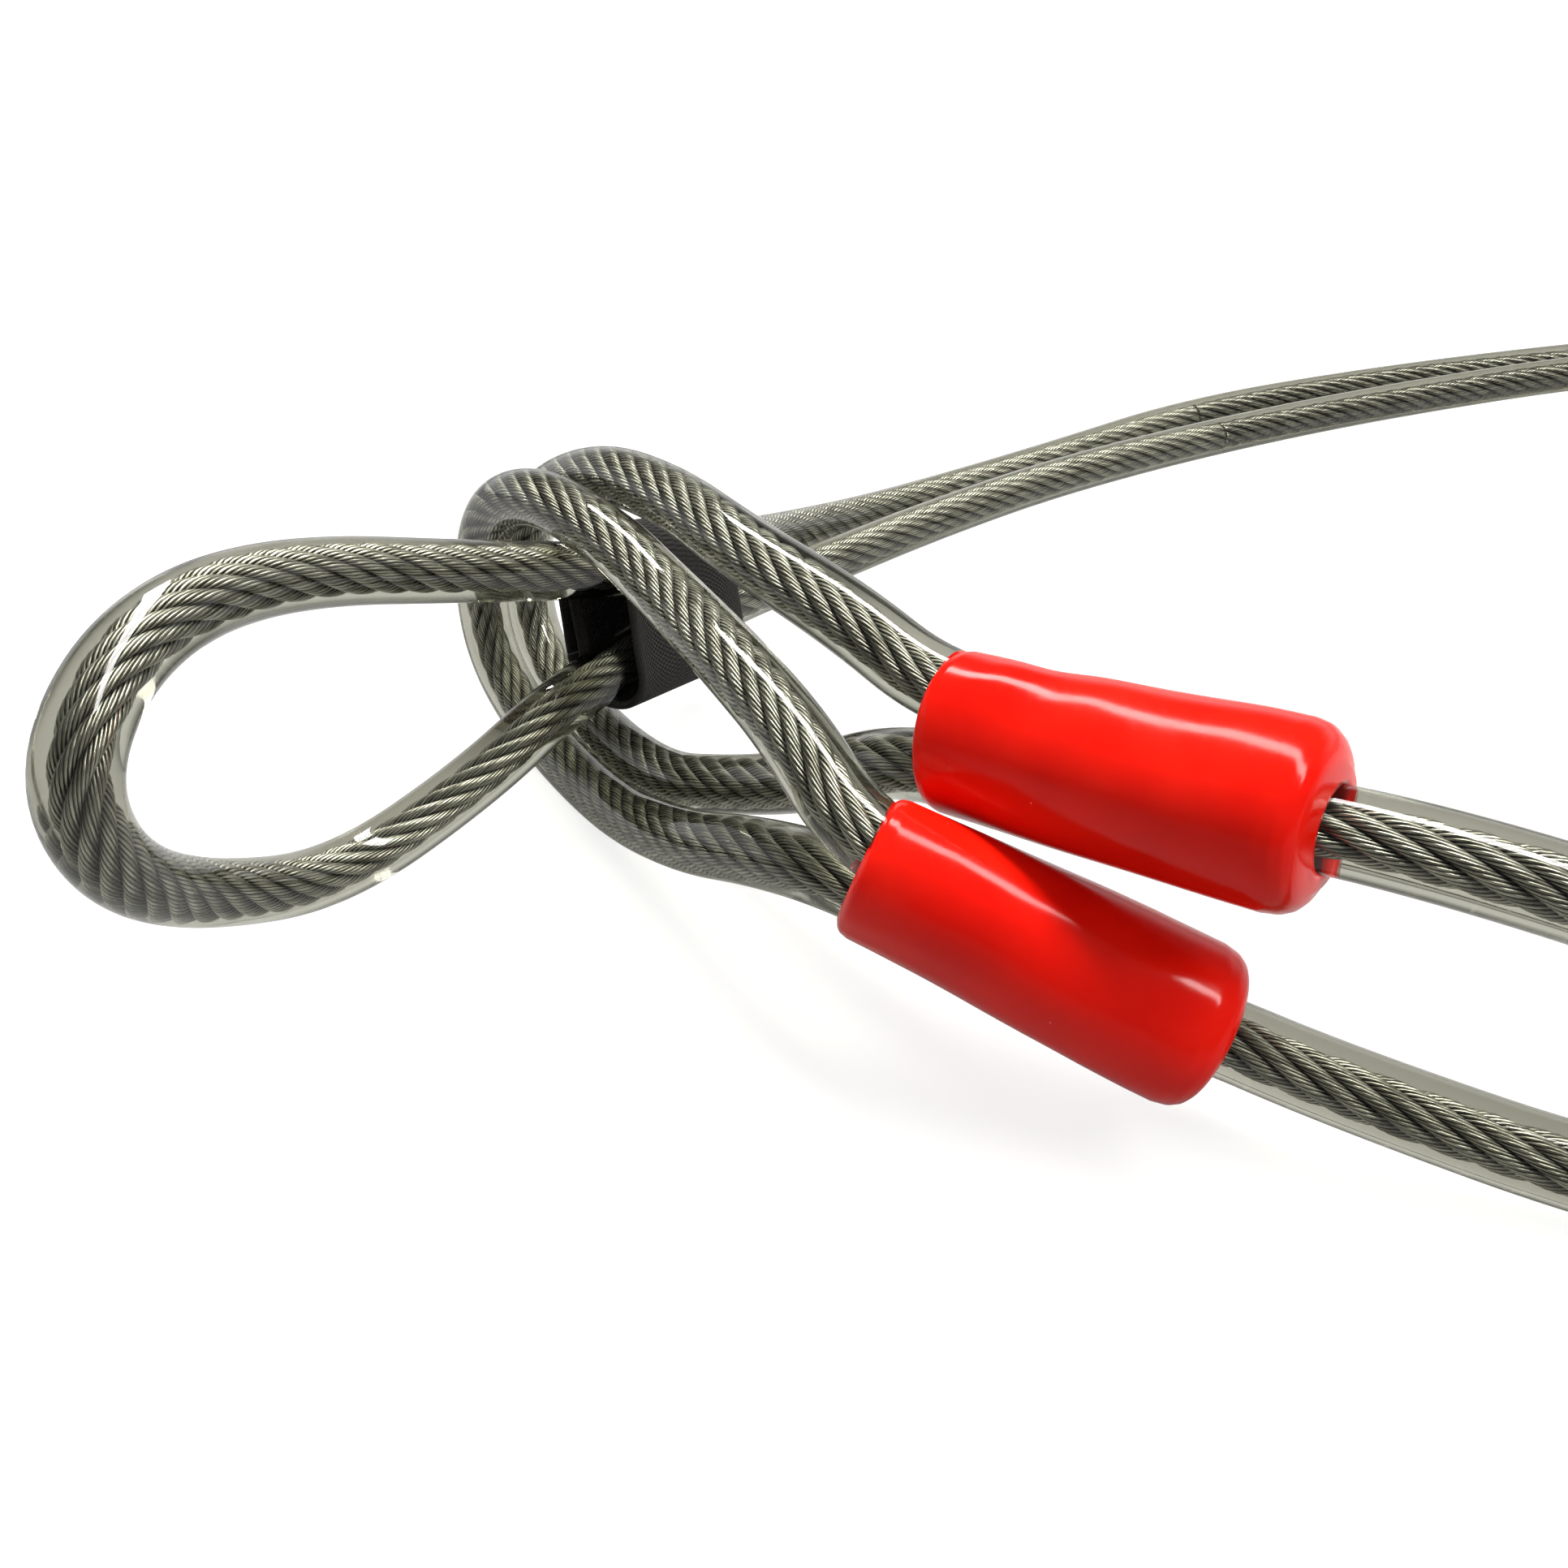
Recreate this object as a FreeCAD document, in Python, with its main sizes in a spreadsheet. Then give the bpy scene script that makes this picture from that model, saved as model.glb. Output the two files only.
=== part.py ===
"""Looped security cable, stored as it is sold: a doubled ring whose closed end is pulled through both eyes.

Units are millimetres. The cable lies on the plane Z = 0, +Z is up, and X runs along the doubled ring.
A clear tube covers a steel rope; each rope end is turned back into an eye, crimped in a twin-bore ferrule,
and dressed with a red vinyl cover. A woven strap holds the two strands of the neck together.
"""
import FreeCAD, Part
import math
import os
import Sketcher

V = FreeCAD.Vector

doc = FreeCAD.newDocument("cable_lock")

# Driving dimensions
sheet = doc.addObject("Spreadsheet::Sheet", "Dimensions")
DIMENSIONS = {
    "cable_outer": 10.0,
    "rope_outer": 4.4,
    "leg_offset": 5.02,
    "cover_length": 47.0,
    "cover_outer": 21.4,
    "cover_mouth_narrow": 18.0,
    "cover_wall": 0.75,
    "cover_end_wall": 1.4,
    "cable_fit": 0.03,
    "jacket_inset": 7.0,
    "ferrule_start": 8.0,
    "ferrule_end": 28.0,
    "bend_start": 6.0,
    "bend_end": 4.5,
    "ferrule_lobe": 8.9,
    "crimp_depth": 0.55,
    "crimp_width": 3.0,
    "crimp_pitch": 7.5,
    "strap_thick": 1.5,
    "strap_fit": 0.95,
    "strap_near_top": 9.6,
    "strap_near_low": 9.4,
    "strap_far_top": 6.6,
    "strap_far_low": 10.4,
    "patch_thick": 0.6,
    "patch_gap": 0.15,
    "patch_border": 2.0,
    "patch_height": 9.0,
    "tab_length": 13.0,
    "fold_gap": 0.2,
}
for row, (name, value) in enumerate(DIMENSIONS.items(), start=1):
    sheet.set("A%d" % row, name)
    sheet.set("B%d" % row, "%g" % value)
    sheet.setAlias("B%d" % row, name)
doc.recompute()


def dim(name):
    """The value of one driving dimension, read from the sheet."""
    return float(sheet.get(name))


# Where the two covers lie: the middle of the mouth, the middle of the tail, and which way the eye's legs stack
COVER_SEATS = {
    "a": (V(-183.0, -94.0, 31.8), V(-143.2, -112.2, 14.7), V(0.20, -0.42, 0.89)),
    "b": (V(-170.3, -81.0, 42.0), V(-136.6, -113.7, 46.0), V(0.30, 0.10, 0.94)),
}

# Where the strap lies round the neck: the middle of its near edge, the middle of its far edge, and the way up
STRAP_SEAT = (V(-221.8, -14.9, 30.9), V(-203.1, 12.7, 24.7), V(0.03, 0.31, 0.95))

# The hand-laid route of each stretch between the points that the covers fix
EYE_ROUTES = {
    "a": [
        (-190.0, -81.0, 44.0), (-198.0, -63.5, 46.6), (-206.5, -44.0, 47.7), (-215.7, -28.5, 51.6),
        (-229.5, -10.0, 54.2), (-242.0, 7.5, 46.2), (-249.0, 15.0, 30.0), (-249.5, 12.0, 13.5),
        (-240.0, -6.0, 5.2), (-223.0, -36.5, 5.0), (-208.5, -61.5, 14.3), (-196.5, -77.5, 23.0),
    ],
    "b": [
        (-181.5, -67.5, 53.2), (-193.5, -49.5, 55.5), (-206.0, -26.5, 57.7), (-219.5, -5.5, 55.6),
        (-234.6, 15.0, 44.6), (-241.0, 23.0, 29.0), (-241.7, 21.3, 11.4), (-232.2, 1.8, 4.9),
        (-215.0, -29.6, 5.8), (-200.0, -47.0, 14.2), (-188.0, -60.0, 22.2), (-180.2, -70.0, 31.0),
    ],
}
MAIN_ROUTE = [
    (-130.0, -118.5, 10.8), (-103.0, -133.0, 6.4), (-60.0, -152.0, 5.0), (0.0, -163.0, 5.0),
    (80.0, -161.0, 5.0), (160.0, -140.0, 5.0), (227.0, -95.0, 5.0), (274.5, -25.0, 5.0), (276.3, 60.0, 5.0),
    (224.0, 129.0, 5.0), (150.0, 159.5, 5.0), (70.0, 163.5, 5.0), (0.0, 158.0, 5.0), (-61.0, 144.5, 5.2),
    (-113.0, 114.0, 5.5), (-160.0, 82.5, 8.6), (-186.3, 48.4, 18.6), (-201.0, 18.0, 29.6),
    (-217.0, -7.0, 37.0), (-237.2, -30.7, 49.1), (-258.0, -56.0, 62.6), (-266.8, -79.0, 66.5),
    (-271.8, -96.1, 58.5), (-274.7, -94.0, 41.9), (-276.0, -76.0, 23.0), (-266.0, -54.0, 8.0),
    (-244.0, -37.5, 14.2), (-228.0, -26.0, 23.0), (-205.0, 8.6, 19.8), (-179.0, 41.0, 13.4),
    (-149.0, 68.0, 10.8), (-112.0, 93.5, 9.2), (-60.0, 121.0, 6.4), (0.0, 141.0, 5.0), (70.0, 152.0, 5.0),
    (145.0, 148.0, 5.0), (216.0, 118.0, 5.0), (262.0, 55.0, 5.0), (260.0, -22.0, 5.0), (218.0, -85.0, 5.0),
    (150.0, -127.0, 5.0), (80.0, -147.0, 6.0), (10.0, -151.0, 14.0), (-50.0, -143.5, 27.4),
    (-103.0, -128.0, 38.8), (-123.5, -120.5, 44.8),
]


def frame_along(start, end, way):
    """A placement at start whose Z runs to end, and whose X is the given way, squared up to Z."""
    axis = (end - start).normalize()
    across = (way - axis * way.dot(axis)).normalize()
    third = axis.cross(across)
    turn = FreeCAD.Matrix(
        across.x, third.x, axis.x, start.x,
        across.y, third.y, axis.y, start.y,
        across.z, third.z, axis.z, start.z,
        0, 0, 0, 1,
    )
    return FreeCAD.Placement(turn)


def seat(side):
    """The cover's own frame: Z runs from its mouth to its tail, and X is the way the legs stack."""
    return frame_along(*COVER_SEATS[side])


def in_seat(side, depth, offset):
    """A point at a depth behind the mouth and an offset along the stack."""
    return seat(side).multVec(V(offset, 0, depth))


def eye_points(side):
    """The eye's whole route: out of the cover on the upper leg, round the eye and back on the lower leg."""
    inset, leg = dim("jacket_inset"), dim("leg_offset")
    out = [in_seat(side, inset, leg), in_seat(side, -2.0, leg)]
    back = [in_seat(side, -2.0, -leg), in_seat(side, inset, -leg)]
    return out + [V(*p) for p in EYE_ROUTES[side]] + back


def main_points():
    """The doubled length's whole route, from the ferrule in cover a to the ferrule in cover b."""
    start, bend, leg = dim("ferrule_end"), dim("bend_start"), dim("leg_offset")
    ends = {}
    for side in ("a", "b"):
        ends[side] = [
            in_seat(side, start, -leg),
            in_seat(side, start + bend, -leg),
            in_seat(side, dim("cover_length") - dim("bend_end"), 0),
        ]
    return ends["a"] + [V(*p) for p in MAIN_ROUTE] + ends["b"][::-1]


def centreline(points, name):
    """Straight runs joined by tangent arcs. An arc takes 0.45 of the shorter of its two runs."""
    runs, radii = [], []
    start = points[0]
    for before, corner, after in zip(points, points[1:], points[2:]):
        into, out = corner - before, after - corner
        reach = 0.45 * min(into.Length, out.Length)
        turn = into.getAngle(out)
        arc_start = corner - into.normalize() * reach
        arc_end = corner + out.normalize() * reach
        # the arc's middle lies on the bisector, in from the corner
        bisector = (arc_start + arc_end) * 0.5 - corner
        radius = reach / math.tan(turn / 2)
        inward = radius / math.cos(turn / 2) - radius
        middle = corner + bisector.normalize() * inward
        runs.append(Part.LineSegment(start, arc_start).toShape())
        runs.append(Part.Arc(arc_start, middle, arc_end).toShape())
        radii.append(radius)
        start = arc_end
    runs.append(Part.LineSegment(start, points[-1]).toShape())
    print(name, "runs", len(points) - 1, "radii", " ".join("%.0f" % r for r in radii))
    return runs


def split_run(edges, corner):
    """Cuts a centreline at the middle of the straight run that follows a corner, counted from 1."""
    at = 2 * corner
    a, b = edges[at].Vertexes[0].Point, edges[at].Vertexes[1].Point
    middle = (a + b) * 0.5
    first = edges[:at] + [Part.LineSegment(a, middle).toShape()]
    second = [Part.LineSegment(middle, b).toShape()] + edges[at + 1:]
    return first, second


def disc(centre, normal, radius):
    """A flat round face."""
    return Part.Face(Part.Wire(Part.Circle(centre, normal, radius).toShape()))


def sweep(edges, outer, inner=0.0):
    """A tube, or a round bar where inner is 0, along a centreline."""
    path = Part.Wire(edges)
    start = edges[0].Vertexes[0].Point
    along = edges[0].tangentAt(edges[0].FirstParameter)
    section = disc(start, along, outer / 2)
    if inner:
        section = section.cut(disc(start, along, inner / 2)).Faces[0]
    solid = path.makePipe(section)
    expected = math.pi / 4 * (outer ** 2 - inner ** 2) * path.Length
    print("   length %.0f, volume is %.4f of section times length" % (path.Length, solid.Volume / expected))
    return solid


kept = []


def keep(item, name):
    """Gives a finished sub-part its own name and puts it on the list to be written."""
    item.Label = name
    kept.append(item)
    return item


def plain_feature(shape, name):
    """A sub-part whose shape is worked out along a route."""
    item = doc.addObject("Part::Feature", name + "_form")
    item.Shape = shape
    return keep(item, name)


# The three lengths of the cable
eye_lines = {side: centreline(eye_points(side), "eye " + side) for side in ("a", "b")}
main_line = centreline(main_points(), "doubled length")

# The doubled length is written as three stretches, cut square in the neck
NECK_CORNER_A = 20
NECK_CORNER_B = 30
rest_of_main, run_b_line = split_run(main_line, NECK_CORNER_B)
run_a_line, bight_line = split_run(rest_of_main, NECK_CORNER_A)
stretches = {"run_a": run_a_line, "bight": bight_line, "run_b": run_b_line}
for side in ("a", "b"):
    stretches["eye_" + side] = eye_lines[side]


def with_ferrule_ends(edges, side):
    """The bare rope goes on past the tube's ends, through the ferrule's two bores."""
    leg, end = dim("leg_offset"), dim("ferrule_end")
    tail = Part.LineSegment(in_seat(side, end, leg), edges[0].Vertexes[0].Point).toShape()
    standing = Part.LineSegment(edges[-1].Vertexes[1].Point, in_seat(side, end, -leg)).toShape()
    return [tail] + edges + [standing]


for name, edges in stretches.items():
    print(name)
    jacket = sweep(edges, dim("cable_outer"), dim("rope_outer"))
    plain_feature(jacket, "jacket_" + name)
    rope_edges = edges
    if name.startswith("eye"):
        rope_edges = with_ferrule_ends(edges, name[-1])
    plain_feature(sweep(rope_edges, dim("rope_outer")), "rope_" + name)


def new_body(name):
    return doc.addObject("PartDesign::Body", name)


def plane_of(body, role):
    return next(f for f in body.Origin.OriginFeatures if f.Role == role)


def new_sketch(body, name, height="0 mm"):
    """A sketch square to the cover's axis, at a height given by an expression."""
    sketch = body.newObject("Sketcher::SketchObject", name)
    sketch.AttachmentSupport = [(plane_of(body, "XY_Plane"), "")]
    sketch.MapMode = "FlatFace"
    sketch.setExpression("AttachmentOffset.Base.z", height)
    return sketch


def add_circle(sketch, radius, offset=None):
    """A circle on the sketch's X axis whose radius and offset are expressions of the sheet."""
    index = sketch.addGeometry(Part.Circle(V(0, 0, 0), V(0, 0, 1), 1.0), False)
    sketch.addConstraint(Sketcher.Constraint("PointOnObject", index, 3, -1))
    place = sketch.addConstraint(Sketcher.Constraint("DistanceX", -1, 1, index, 3, 0.5))
    size = sketch.addConstraint(Sketcher.Constraint("Radius", index, 1.0))
    sketch.renameConstraint(place, "offset%d" % index)
    sketch.renameConstraint(size, "radius%d" % index)
    sketch.setExpression("Constraints.offset%d" % index, offset or "0 mm")
    sketch.setExpression("Constraints.radius%d" % index, radius)
    return index


def add_stadium(sketch, half_gap, radius):
    """Two half rings on the X axis joined by two straight sides."""
    gap, round_end = half_gap[1], radius[1]
    right = sketch.addGeometry(
        Part.ArcOfCircle(Part.Circle(V(gap, 0, 0), V(0, 0, 1), round_end), -math.pi / 2, math.pi / 2), False)
    left = sketch.addGeometry(
        Part.ArcOfCircle(Part.Circle(V(-gap, 0, 0), V(0, 0, 1), round_end), math.pi / 2, 3 * math.pi / 2), False)
    top = sketch.addGeometry(Part.LineSegment(V(gap, round_end, 0), V(-gap, round_end, 0)), False)
    base = sketch.addGeometry(Part.LineSegment(V(-gap, -round_end, 0), V(gap, -round_end, 0)), False)
    sketch.addConstraint(Sketcher.Constraint("Tangent", right, 2, top, 1))
    sketch.addConstraint(Sketcher.Constraint("Tangent", top, 2, left, 1))
    sketch.addConstraint(Sketcher.Constraint("Tangent", left, 2, base, 1))
    sketch.addConstraint(Sketcher.Constraint("Tangent", base, 2, right, 1))
    sketch.addConstraint(Sketcher.Constraint("PointOnObject", right, 3, -1))
    sketch.addConstraint(Sketcher.Constraint("Symmetric", left, 3, right, 3, -1, 1))
    sizes = (
        ("gap", Sketcher.Constraint("DistanceX", -1, 1, right, 3, gap), half_gap[0]),
        ("round", Sketcher.Constraint("Radius", right, round_end), radius[0]),
    )
    for label, constraint, expression in sizes:
        index = sketch.addConstraint(constraint)
        sketch.renameConstraint(index, "%s%d" % (label, right))
        sketch.setExpression("Constraints.%s%d" % (label, right), expression)


SHEET = "<<Dimensions>>."


def make_ferrule(side):
    """A twin-bore crimp sleeve: padded, pressed in three bands, with both bores left open."""
    body = new_body("Ferrule_" + side)
    lobe = (SHEET + "ferrule_lobe / 2", dim("ferrule_lobe") / 2)
    leg = (SHEET + "leg_offset", dim("leg_offset"))
    outline = new_sketch(body, "FerruleOutline_" + side, SHEET + "ferrule_start")
    add_stadium(outline, leg, lobe)
    pad = body.newObject("PartDesign::Pad", "FerrulePad_" + side)
    pad.Profile = outline
    pad.setExpression("Length", SHEET + "ferrule_end - " + SHEET + "ferrule_start")
    doc.recompute()
    band_height = SHEET + "ferrule_start + " + SHEET + "crimp_width"
    band = new_sketch(body, "CrimpBand_" + side, band_height)
    rim = (SHEET + "ferrule_lobe / 2 + 2", dim("ferrule_lobe") / 2 + 2)
    floor = (SHEET + "ferrule_lobe / 2 - " + SHEET + "crimp_depth", dim("ferrule_lobe") / 2 - dim("crimp_depth"))
    add_stadium(band, leg, rim)
    add_stadium(band, leg, floor)
    crimp = body.newObject("PartDesign::Pocket", "Crimp_" + side)
    crimp.Profile = band
    crimp.Reversed = True
    crimp.setExpression("Length", SHEET + "crimp_width")
    doc.recompute()
    repeat = body.newObject("PartDesign::LinearPattern", "Crimps_" + side)
    repeat.Originals = [crimp]
    repeat.Direction = (plane_of(body, "Z_Axis"), [""])
    repeat.Occurrences = 3
    repeat.setExpression("Length", SHEET + "crimp_pitch * 2")
    body.Tip = repeat
    doc.recompute()
    bores = new_sketch(body, "Bores_" + side, SHEET + "ferrule_end")
    add_circle(bores, SHEET + "rope_outer / 2", SHEET + "leg_offset")
    add_circle(bores, SHEET + "rope_outer / 2", "-" + SHEET + "leg_offset")
    drill = body.newObject("PartDesign::Pocket", "Drill_" + side)
    drill.Profile = bores
    drill.Type = "ThroughAll"
    body.Tip = drill
    doc.recompute()
    body.Placement = seat(side)
    return keep(body, "ferrule_" + side)


# A cover's sections from mouth to tail: depth as a share of the length, how much smaller than the full width,
# and how round it is, from 0 for the mouth's oval to 1 for a circle
COVER_SECTIONS = (
    (0.0, 3.2, 0.0),
    (0.011, 1.35, 0.0),
    (0.022, 0.54, 0.0),
    (0.045, 0.0, 0.0),
    (0.12, 0.0, 0.05),
    (0.27, 0.0, 0.25),
    (0.42, 0.05, 0.5),
    (0.57, 0.15, 0.75),
    (0.72, 0.25, 0.95),
    (0.84, 0.3, 1.0),
    (0.915, 0.35, 1.0),
    (0.957, 1.15, 1.0),
    (0.981, 2.7, 1.0),
    (0.993, 4.4, 1.0),
    (1.0, 6.8, 1.0),
)


def oval_sketch(body, name, height, wide_size, thin_size):
    """An oval section of a cover: wide along the stack, and thin across it."""
    sketch = new_sketch(body, name, height)
    index = sketch.addGeometry(Part.Ellipse(V(10, 0, 0), V(0, 9, 0), V(0, 0, 0)), False)
    sketch.exposeInternalGeometry(index)
    sketch.addConstraint(Sketcher.Constraint("Coincident", index, 3, -1, 1))
    # the exposed lines are the two axes of the oval
    sketch.addConstraint(Sketcher.Constraint("Horizontal", index + 1))
    wide = sketch.addConstraint(Sketcher.Constraint("Distance", index + 1, 20.0))
    thin = sketch.addConstraint(Sketcher.Constraint("Distance", index + 2, 18.0))
    sketch.renameConstraint(wide, "wide")
    sketch.renameConstraint(thin, "thin")
    sketch.setExpression("Constraints.wide", wide_size)
    sketch.setExpression("Constraints.thin", thin_size)
    return sketch


def cover_sections(body, name, rows, wall):
    """The ovals of one skin of a cover, a wall's thickness inside the outer one."""
    sketches = []
    for number, (share, smaller, roundness) in enumerate(rows, start=1):
        wide = "%scover_outer - %g - 2 * %s" % (SHEET, smaller, wall)
        oval = "(%scover_outer - %scover_mouth_narrow) * %g" % (SHEET, SHEET, 1 - roundness)
        thin = "%s - %s - 0.02" % (wide, oval)
        height = "%scover_length * %g" % (SHEET, share)
        sketches.append(oval_sketch(body, "%s%d" % (name, number), height, wide, thin))
    return sketches


def make_cover(side):
    """A dipped vinyl cover: oval where it takes two legs, round at its domed tail, and thin walled."""
    body = new_body("Cover_" + side)
    outer = cover_sections(body, "Skin%s" % side, COVER_SECTIONS, "0")
    skin = body.newObject("PartDesign::AdditiveLoft", "CoverSkin_" + side)
    skin.Profile = outer[0]
    skin.Sections = outer[1:]
    doc.recompute()
    # the hollow starts behind the lip and stops short of the tail
    inner = cover_sections(body, "Hollow%s" % side, COVER_SECTIONS[3:-3], SHEET + "cover_wall")
    hollow = body.newObject("PartDesign::SubtractiveLoft", "CoverHollow_" + side)
    hollow.Profile = inner[0]
    hollow.Sections = inner[1:]
    doc.recompute()
    mouth_hole = new_sketch(body, "MouthHole_" + side, SHEET + "cover_end_wall * 2")
    fit = (SHEET + "cable_outer / 2 + " + SHEET + "cable_fit", dim("cable_outer") / 2 + dim("cable_fit"))
    add_stadium(mouth_hole, (SHEET + "leg_offset", dim("leg_offset")), fit)
    opening = body.newObject("PartDesign::Pocket", "MouthOpening_" + side)
    opening.Profile = mouth_hole
    opening.Type = "ThroughAll"
    doc.recompute()
    tail_hole = new_sketch(body, "TailHole_" + side, SHEET + "cover_length * 0.6")
    add_circle(tail_hole, SHEET + "cable_outer / 2 + " + SHEET + "cable_fit")
    exit_hole = body.newObject("PartDesign::Pocket", "TailOpening_" + side)
    exit_hole.Profile = tail_hole
    exit_hole.Reversed = True
    exit_hole.Type = "ThroughAll"
    body.Tip = exit_hole
    doc.recompute()
    body.Placement = seat(side)
    return keep(body, "cover_" + side)


for side in ("a", "b"):
    make_ferrule(side)
    make_cover(side)


def strip_outline(top, low, layer_in, layer_out):
    """The strap's outline, seen along the neck, with how far its two turns lie above and below the middle.

    The strip starts on the hidden side, goes over the top strand, down the shown side and under the lower
    strand, and comes up again one layer further out, where the tab goes on.
    """
    thick = dim("strap_thick")
    inner, outer = layer_in, layer_in + thick
    # the turn under the lower strand grows until the strip lies outside its own first end
    turn_in = layer_out
    turn_out = layer_out + thick
    turn_centre = -low - inner + turn_in
    start = -low + 1.0

    def arc(centre, radius, begin, middle, end):
        angles = [math.radians(a) for a in (begin, middle, end)]
        return Part.Arc(*[V(centre + radius * math.cos(a), radius * math.sin(a), 0) for a in angles])

    top_out = arc(top, outer, -90, 0, 90)
    top_in = arc(top, inner, -90, 0, 90)
    low_out = arc(-low, outer, 90, 135, 180)
    low_in = arc(-low, inner, 90, 135, 180)
    fold_out = arc(turn_centre, turn_out, 180, 225, 270)
    fold_in = arc(turn_centre, turn_in, 180, 225, 270)
    edges = [
        Part.LineSegment(V(start, -outer, 0), V(top, -outer, 0)),
        top_out,
        Part.LineSegment(V(top, outer, 0), V(-low, outer, 0)),
        low_out,
        fold_out,
        Part.LineSegment(V(turn_centre, -turn_out, 0), V(turn_centre, -turn_in, 0)),
        fold_in,
        low_in,
        Part.LineSegment(V(-low, inner, 0), V(top, inner, 0)),
        top_in,
        Part.LineSegment(V(top, -inner, 0), V(start, -inner, 0)),
        Part.LineSegment(V(start, -inner, 0), V(start, -outer, 0)),
    ]
    return [e.toShape() for e in edges], turn_centre


# The webbing strap is one strip lofted from its near edge to its far edge: the strands draw together, so its
# far edge lies close on the top strand and hangs loose below the lower one
strap_place = frame_along(*STRAP_SEAT)
strap_long = (STRAP_SEAT[1] - STRAP_SEAT[0]).Length
first_layer = dim("cable_outer") / 2 + dim("strap_fit")
second_layer = first_layer + dim("strap_thick") + 2 * dim("patch_thick") + dim("patch_gap")
sections, folds = [], []
for end_name, along in (("near", 0.0), ("far", strap_long)):
    top, low = dim("strap_%s_top" % end_name), dim("strap_%s_low" % end_name)
    edges, fold = strip_outline(top, low, first_layer, second_layer)
    outline = Part.Wire(Part.__sortEdges__(edges))
    outline.translate(V(0, 0, along))
    sections.append(outline)
    folds.append(strap_place.multVec(V(fold, -second_layer - dim("strap_thick"), along)))
band = doc.addObject("Part::Feature", "StrapBand")
band.Shape = Part.makeLoft(sections, True, True)
band.Placement = strap_place
keep(band, "strap_band")

# The tab peels open about the fold: its frame has Z along the fold, X up the tab and Y towards the strands
tab_place = frame_along(folds[0], folds[1], strap_place.Rotation.multVec(V(1, 0, 0)))
fold_long = (folds[1] - folds[0]).Length
THICK, PATCH = SHEET + "strap_thick", SHEET + "patch_thick"


def flat_strip(name, near_x, height, near_y, thick, border):
    """A flat strip beside the fold, as long as the fold less a border at each end."""
    strip = doc.addObject("Part::Box", name + "_strip")
    strip.setExpression("Length", height)
    strip.setExpression("Width", thick)
    strip.Height = fold_long - 2 * border
    strip.Placement = tab_place.multiply(FreeCAD.Placement(V(near_x, near_y, border), FreeCAD.Rotation()))
    return keep(strip, name)


webbing, patch, border = dim("strap_thick"), dim("patch_thick"), dim("patch_border")
hinge_x, hinge_y = dim("fold_gap") + webbing / 2, webbing / 2

# The tab's folded edge is round about the fold's own line, so that it turns in place
tab_flat = flat_strip("tab_flat", hinge_x, SHEET + "tab_length - " + THICK + " / 2", 0, THICK, 0)
kept.remove(tab_flat)
tab_edge = doc.addObject("Part::Cylinder", "TabFoldedEdge")
tab_edge.setExpression("Radius", THICK + " / 2")
tab_edge.Height = fold_long
tab_edge.Placement = tab_place.multiply(FreeCAD.Placement(V(hinge_x, hinge_y, 0), FreeCAD.Rotation()))
tab = doc.addObject("Part::MultiFuse", "StrapTab")
tab.Shapes = [tab_flat, tab_edge]
tab.Refine = True
doc.recompute()
keep(tab, "strap_tab")

patch_height = SHEET + "patch_height"
flat_strip("strap_hook_patch", border, patch_height, webbing, PATCH, border)
flat_strip("strap_loop_patch", 0.5, patch_height, webbing + patch + dim("patch_gap"), PATCH, border)

doc.recompute()
problems = []
for item in doc.Objects:
    if "Invalid" in item.State or "Error" in item.State:
        problems.append("%s: %s" % (item.Label, item.State))
for item in kept:
    if item.Shape.isNull() or not item.Shape.isValid():
        problems.append("%s: shape is null or not valid" % item.Label)
if problems:
    raise SystemExit("not written, because of: " + "; ".join(problems))

os.makedirs("parts", exist_ok=True)
hinge = tab_place.multVec(V(hinge_x, hinge_y, 0)) * 0.001
hinge_end = tab_place.multVec(V(hinge_x, hinge_y, fold_long)) * 0.001
print("fold from (%.6f, %.6f, %.6f) to (%.6f, %.6f, %.6f) m" % (*hinge, *hinge_end))
for item in kept:
    item.Shape.exportStep("parts/%s.step" % item.Label)
    box = item.Shape.BoundBox
    print("%-16s solids %d volume %.0f  x %.1f..%.1f  y %.1f..%.1f  z %.1f..%.1f" % (
        item.Label, len(item.Shape.Solids), item.Shape.Volume,
        box.XMin, box.XMax, box.YMin, box.YMax, box.ZMin, box.ZMax))
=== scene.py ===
# %% [markdown]
# # A looped security cable, dressed for the camera
# The real object is one length of wire rope inside a clear vinyl tube. Each end of the rope is turned back into
# an eye, crimped, and hidden under a red vinyl cover. The cable is stored doubled into a ring, with the closed
# end of the ring pulled through both eyes and held there by a black webbing strap.
# The frame holds the parts that carry and fit. This script adds what the eye reads as real: the lay of the rope
# behind clear vinyl, the soft shine of the covers and the weave of the strap.

# %% Load the fixed frame
import math

import bpy
import numpy as np
from mathutils import Matrix, Vector


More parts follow.
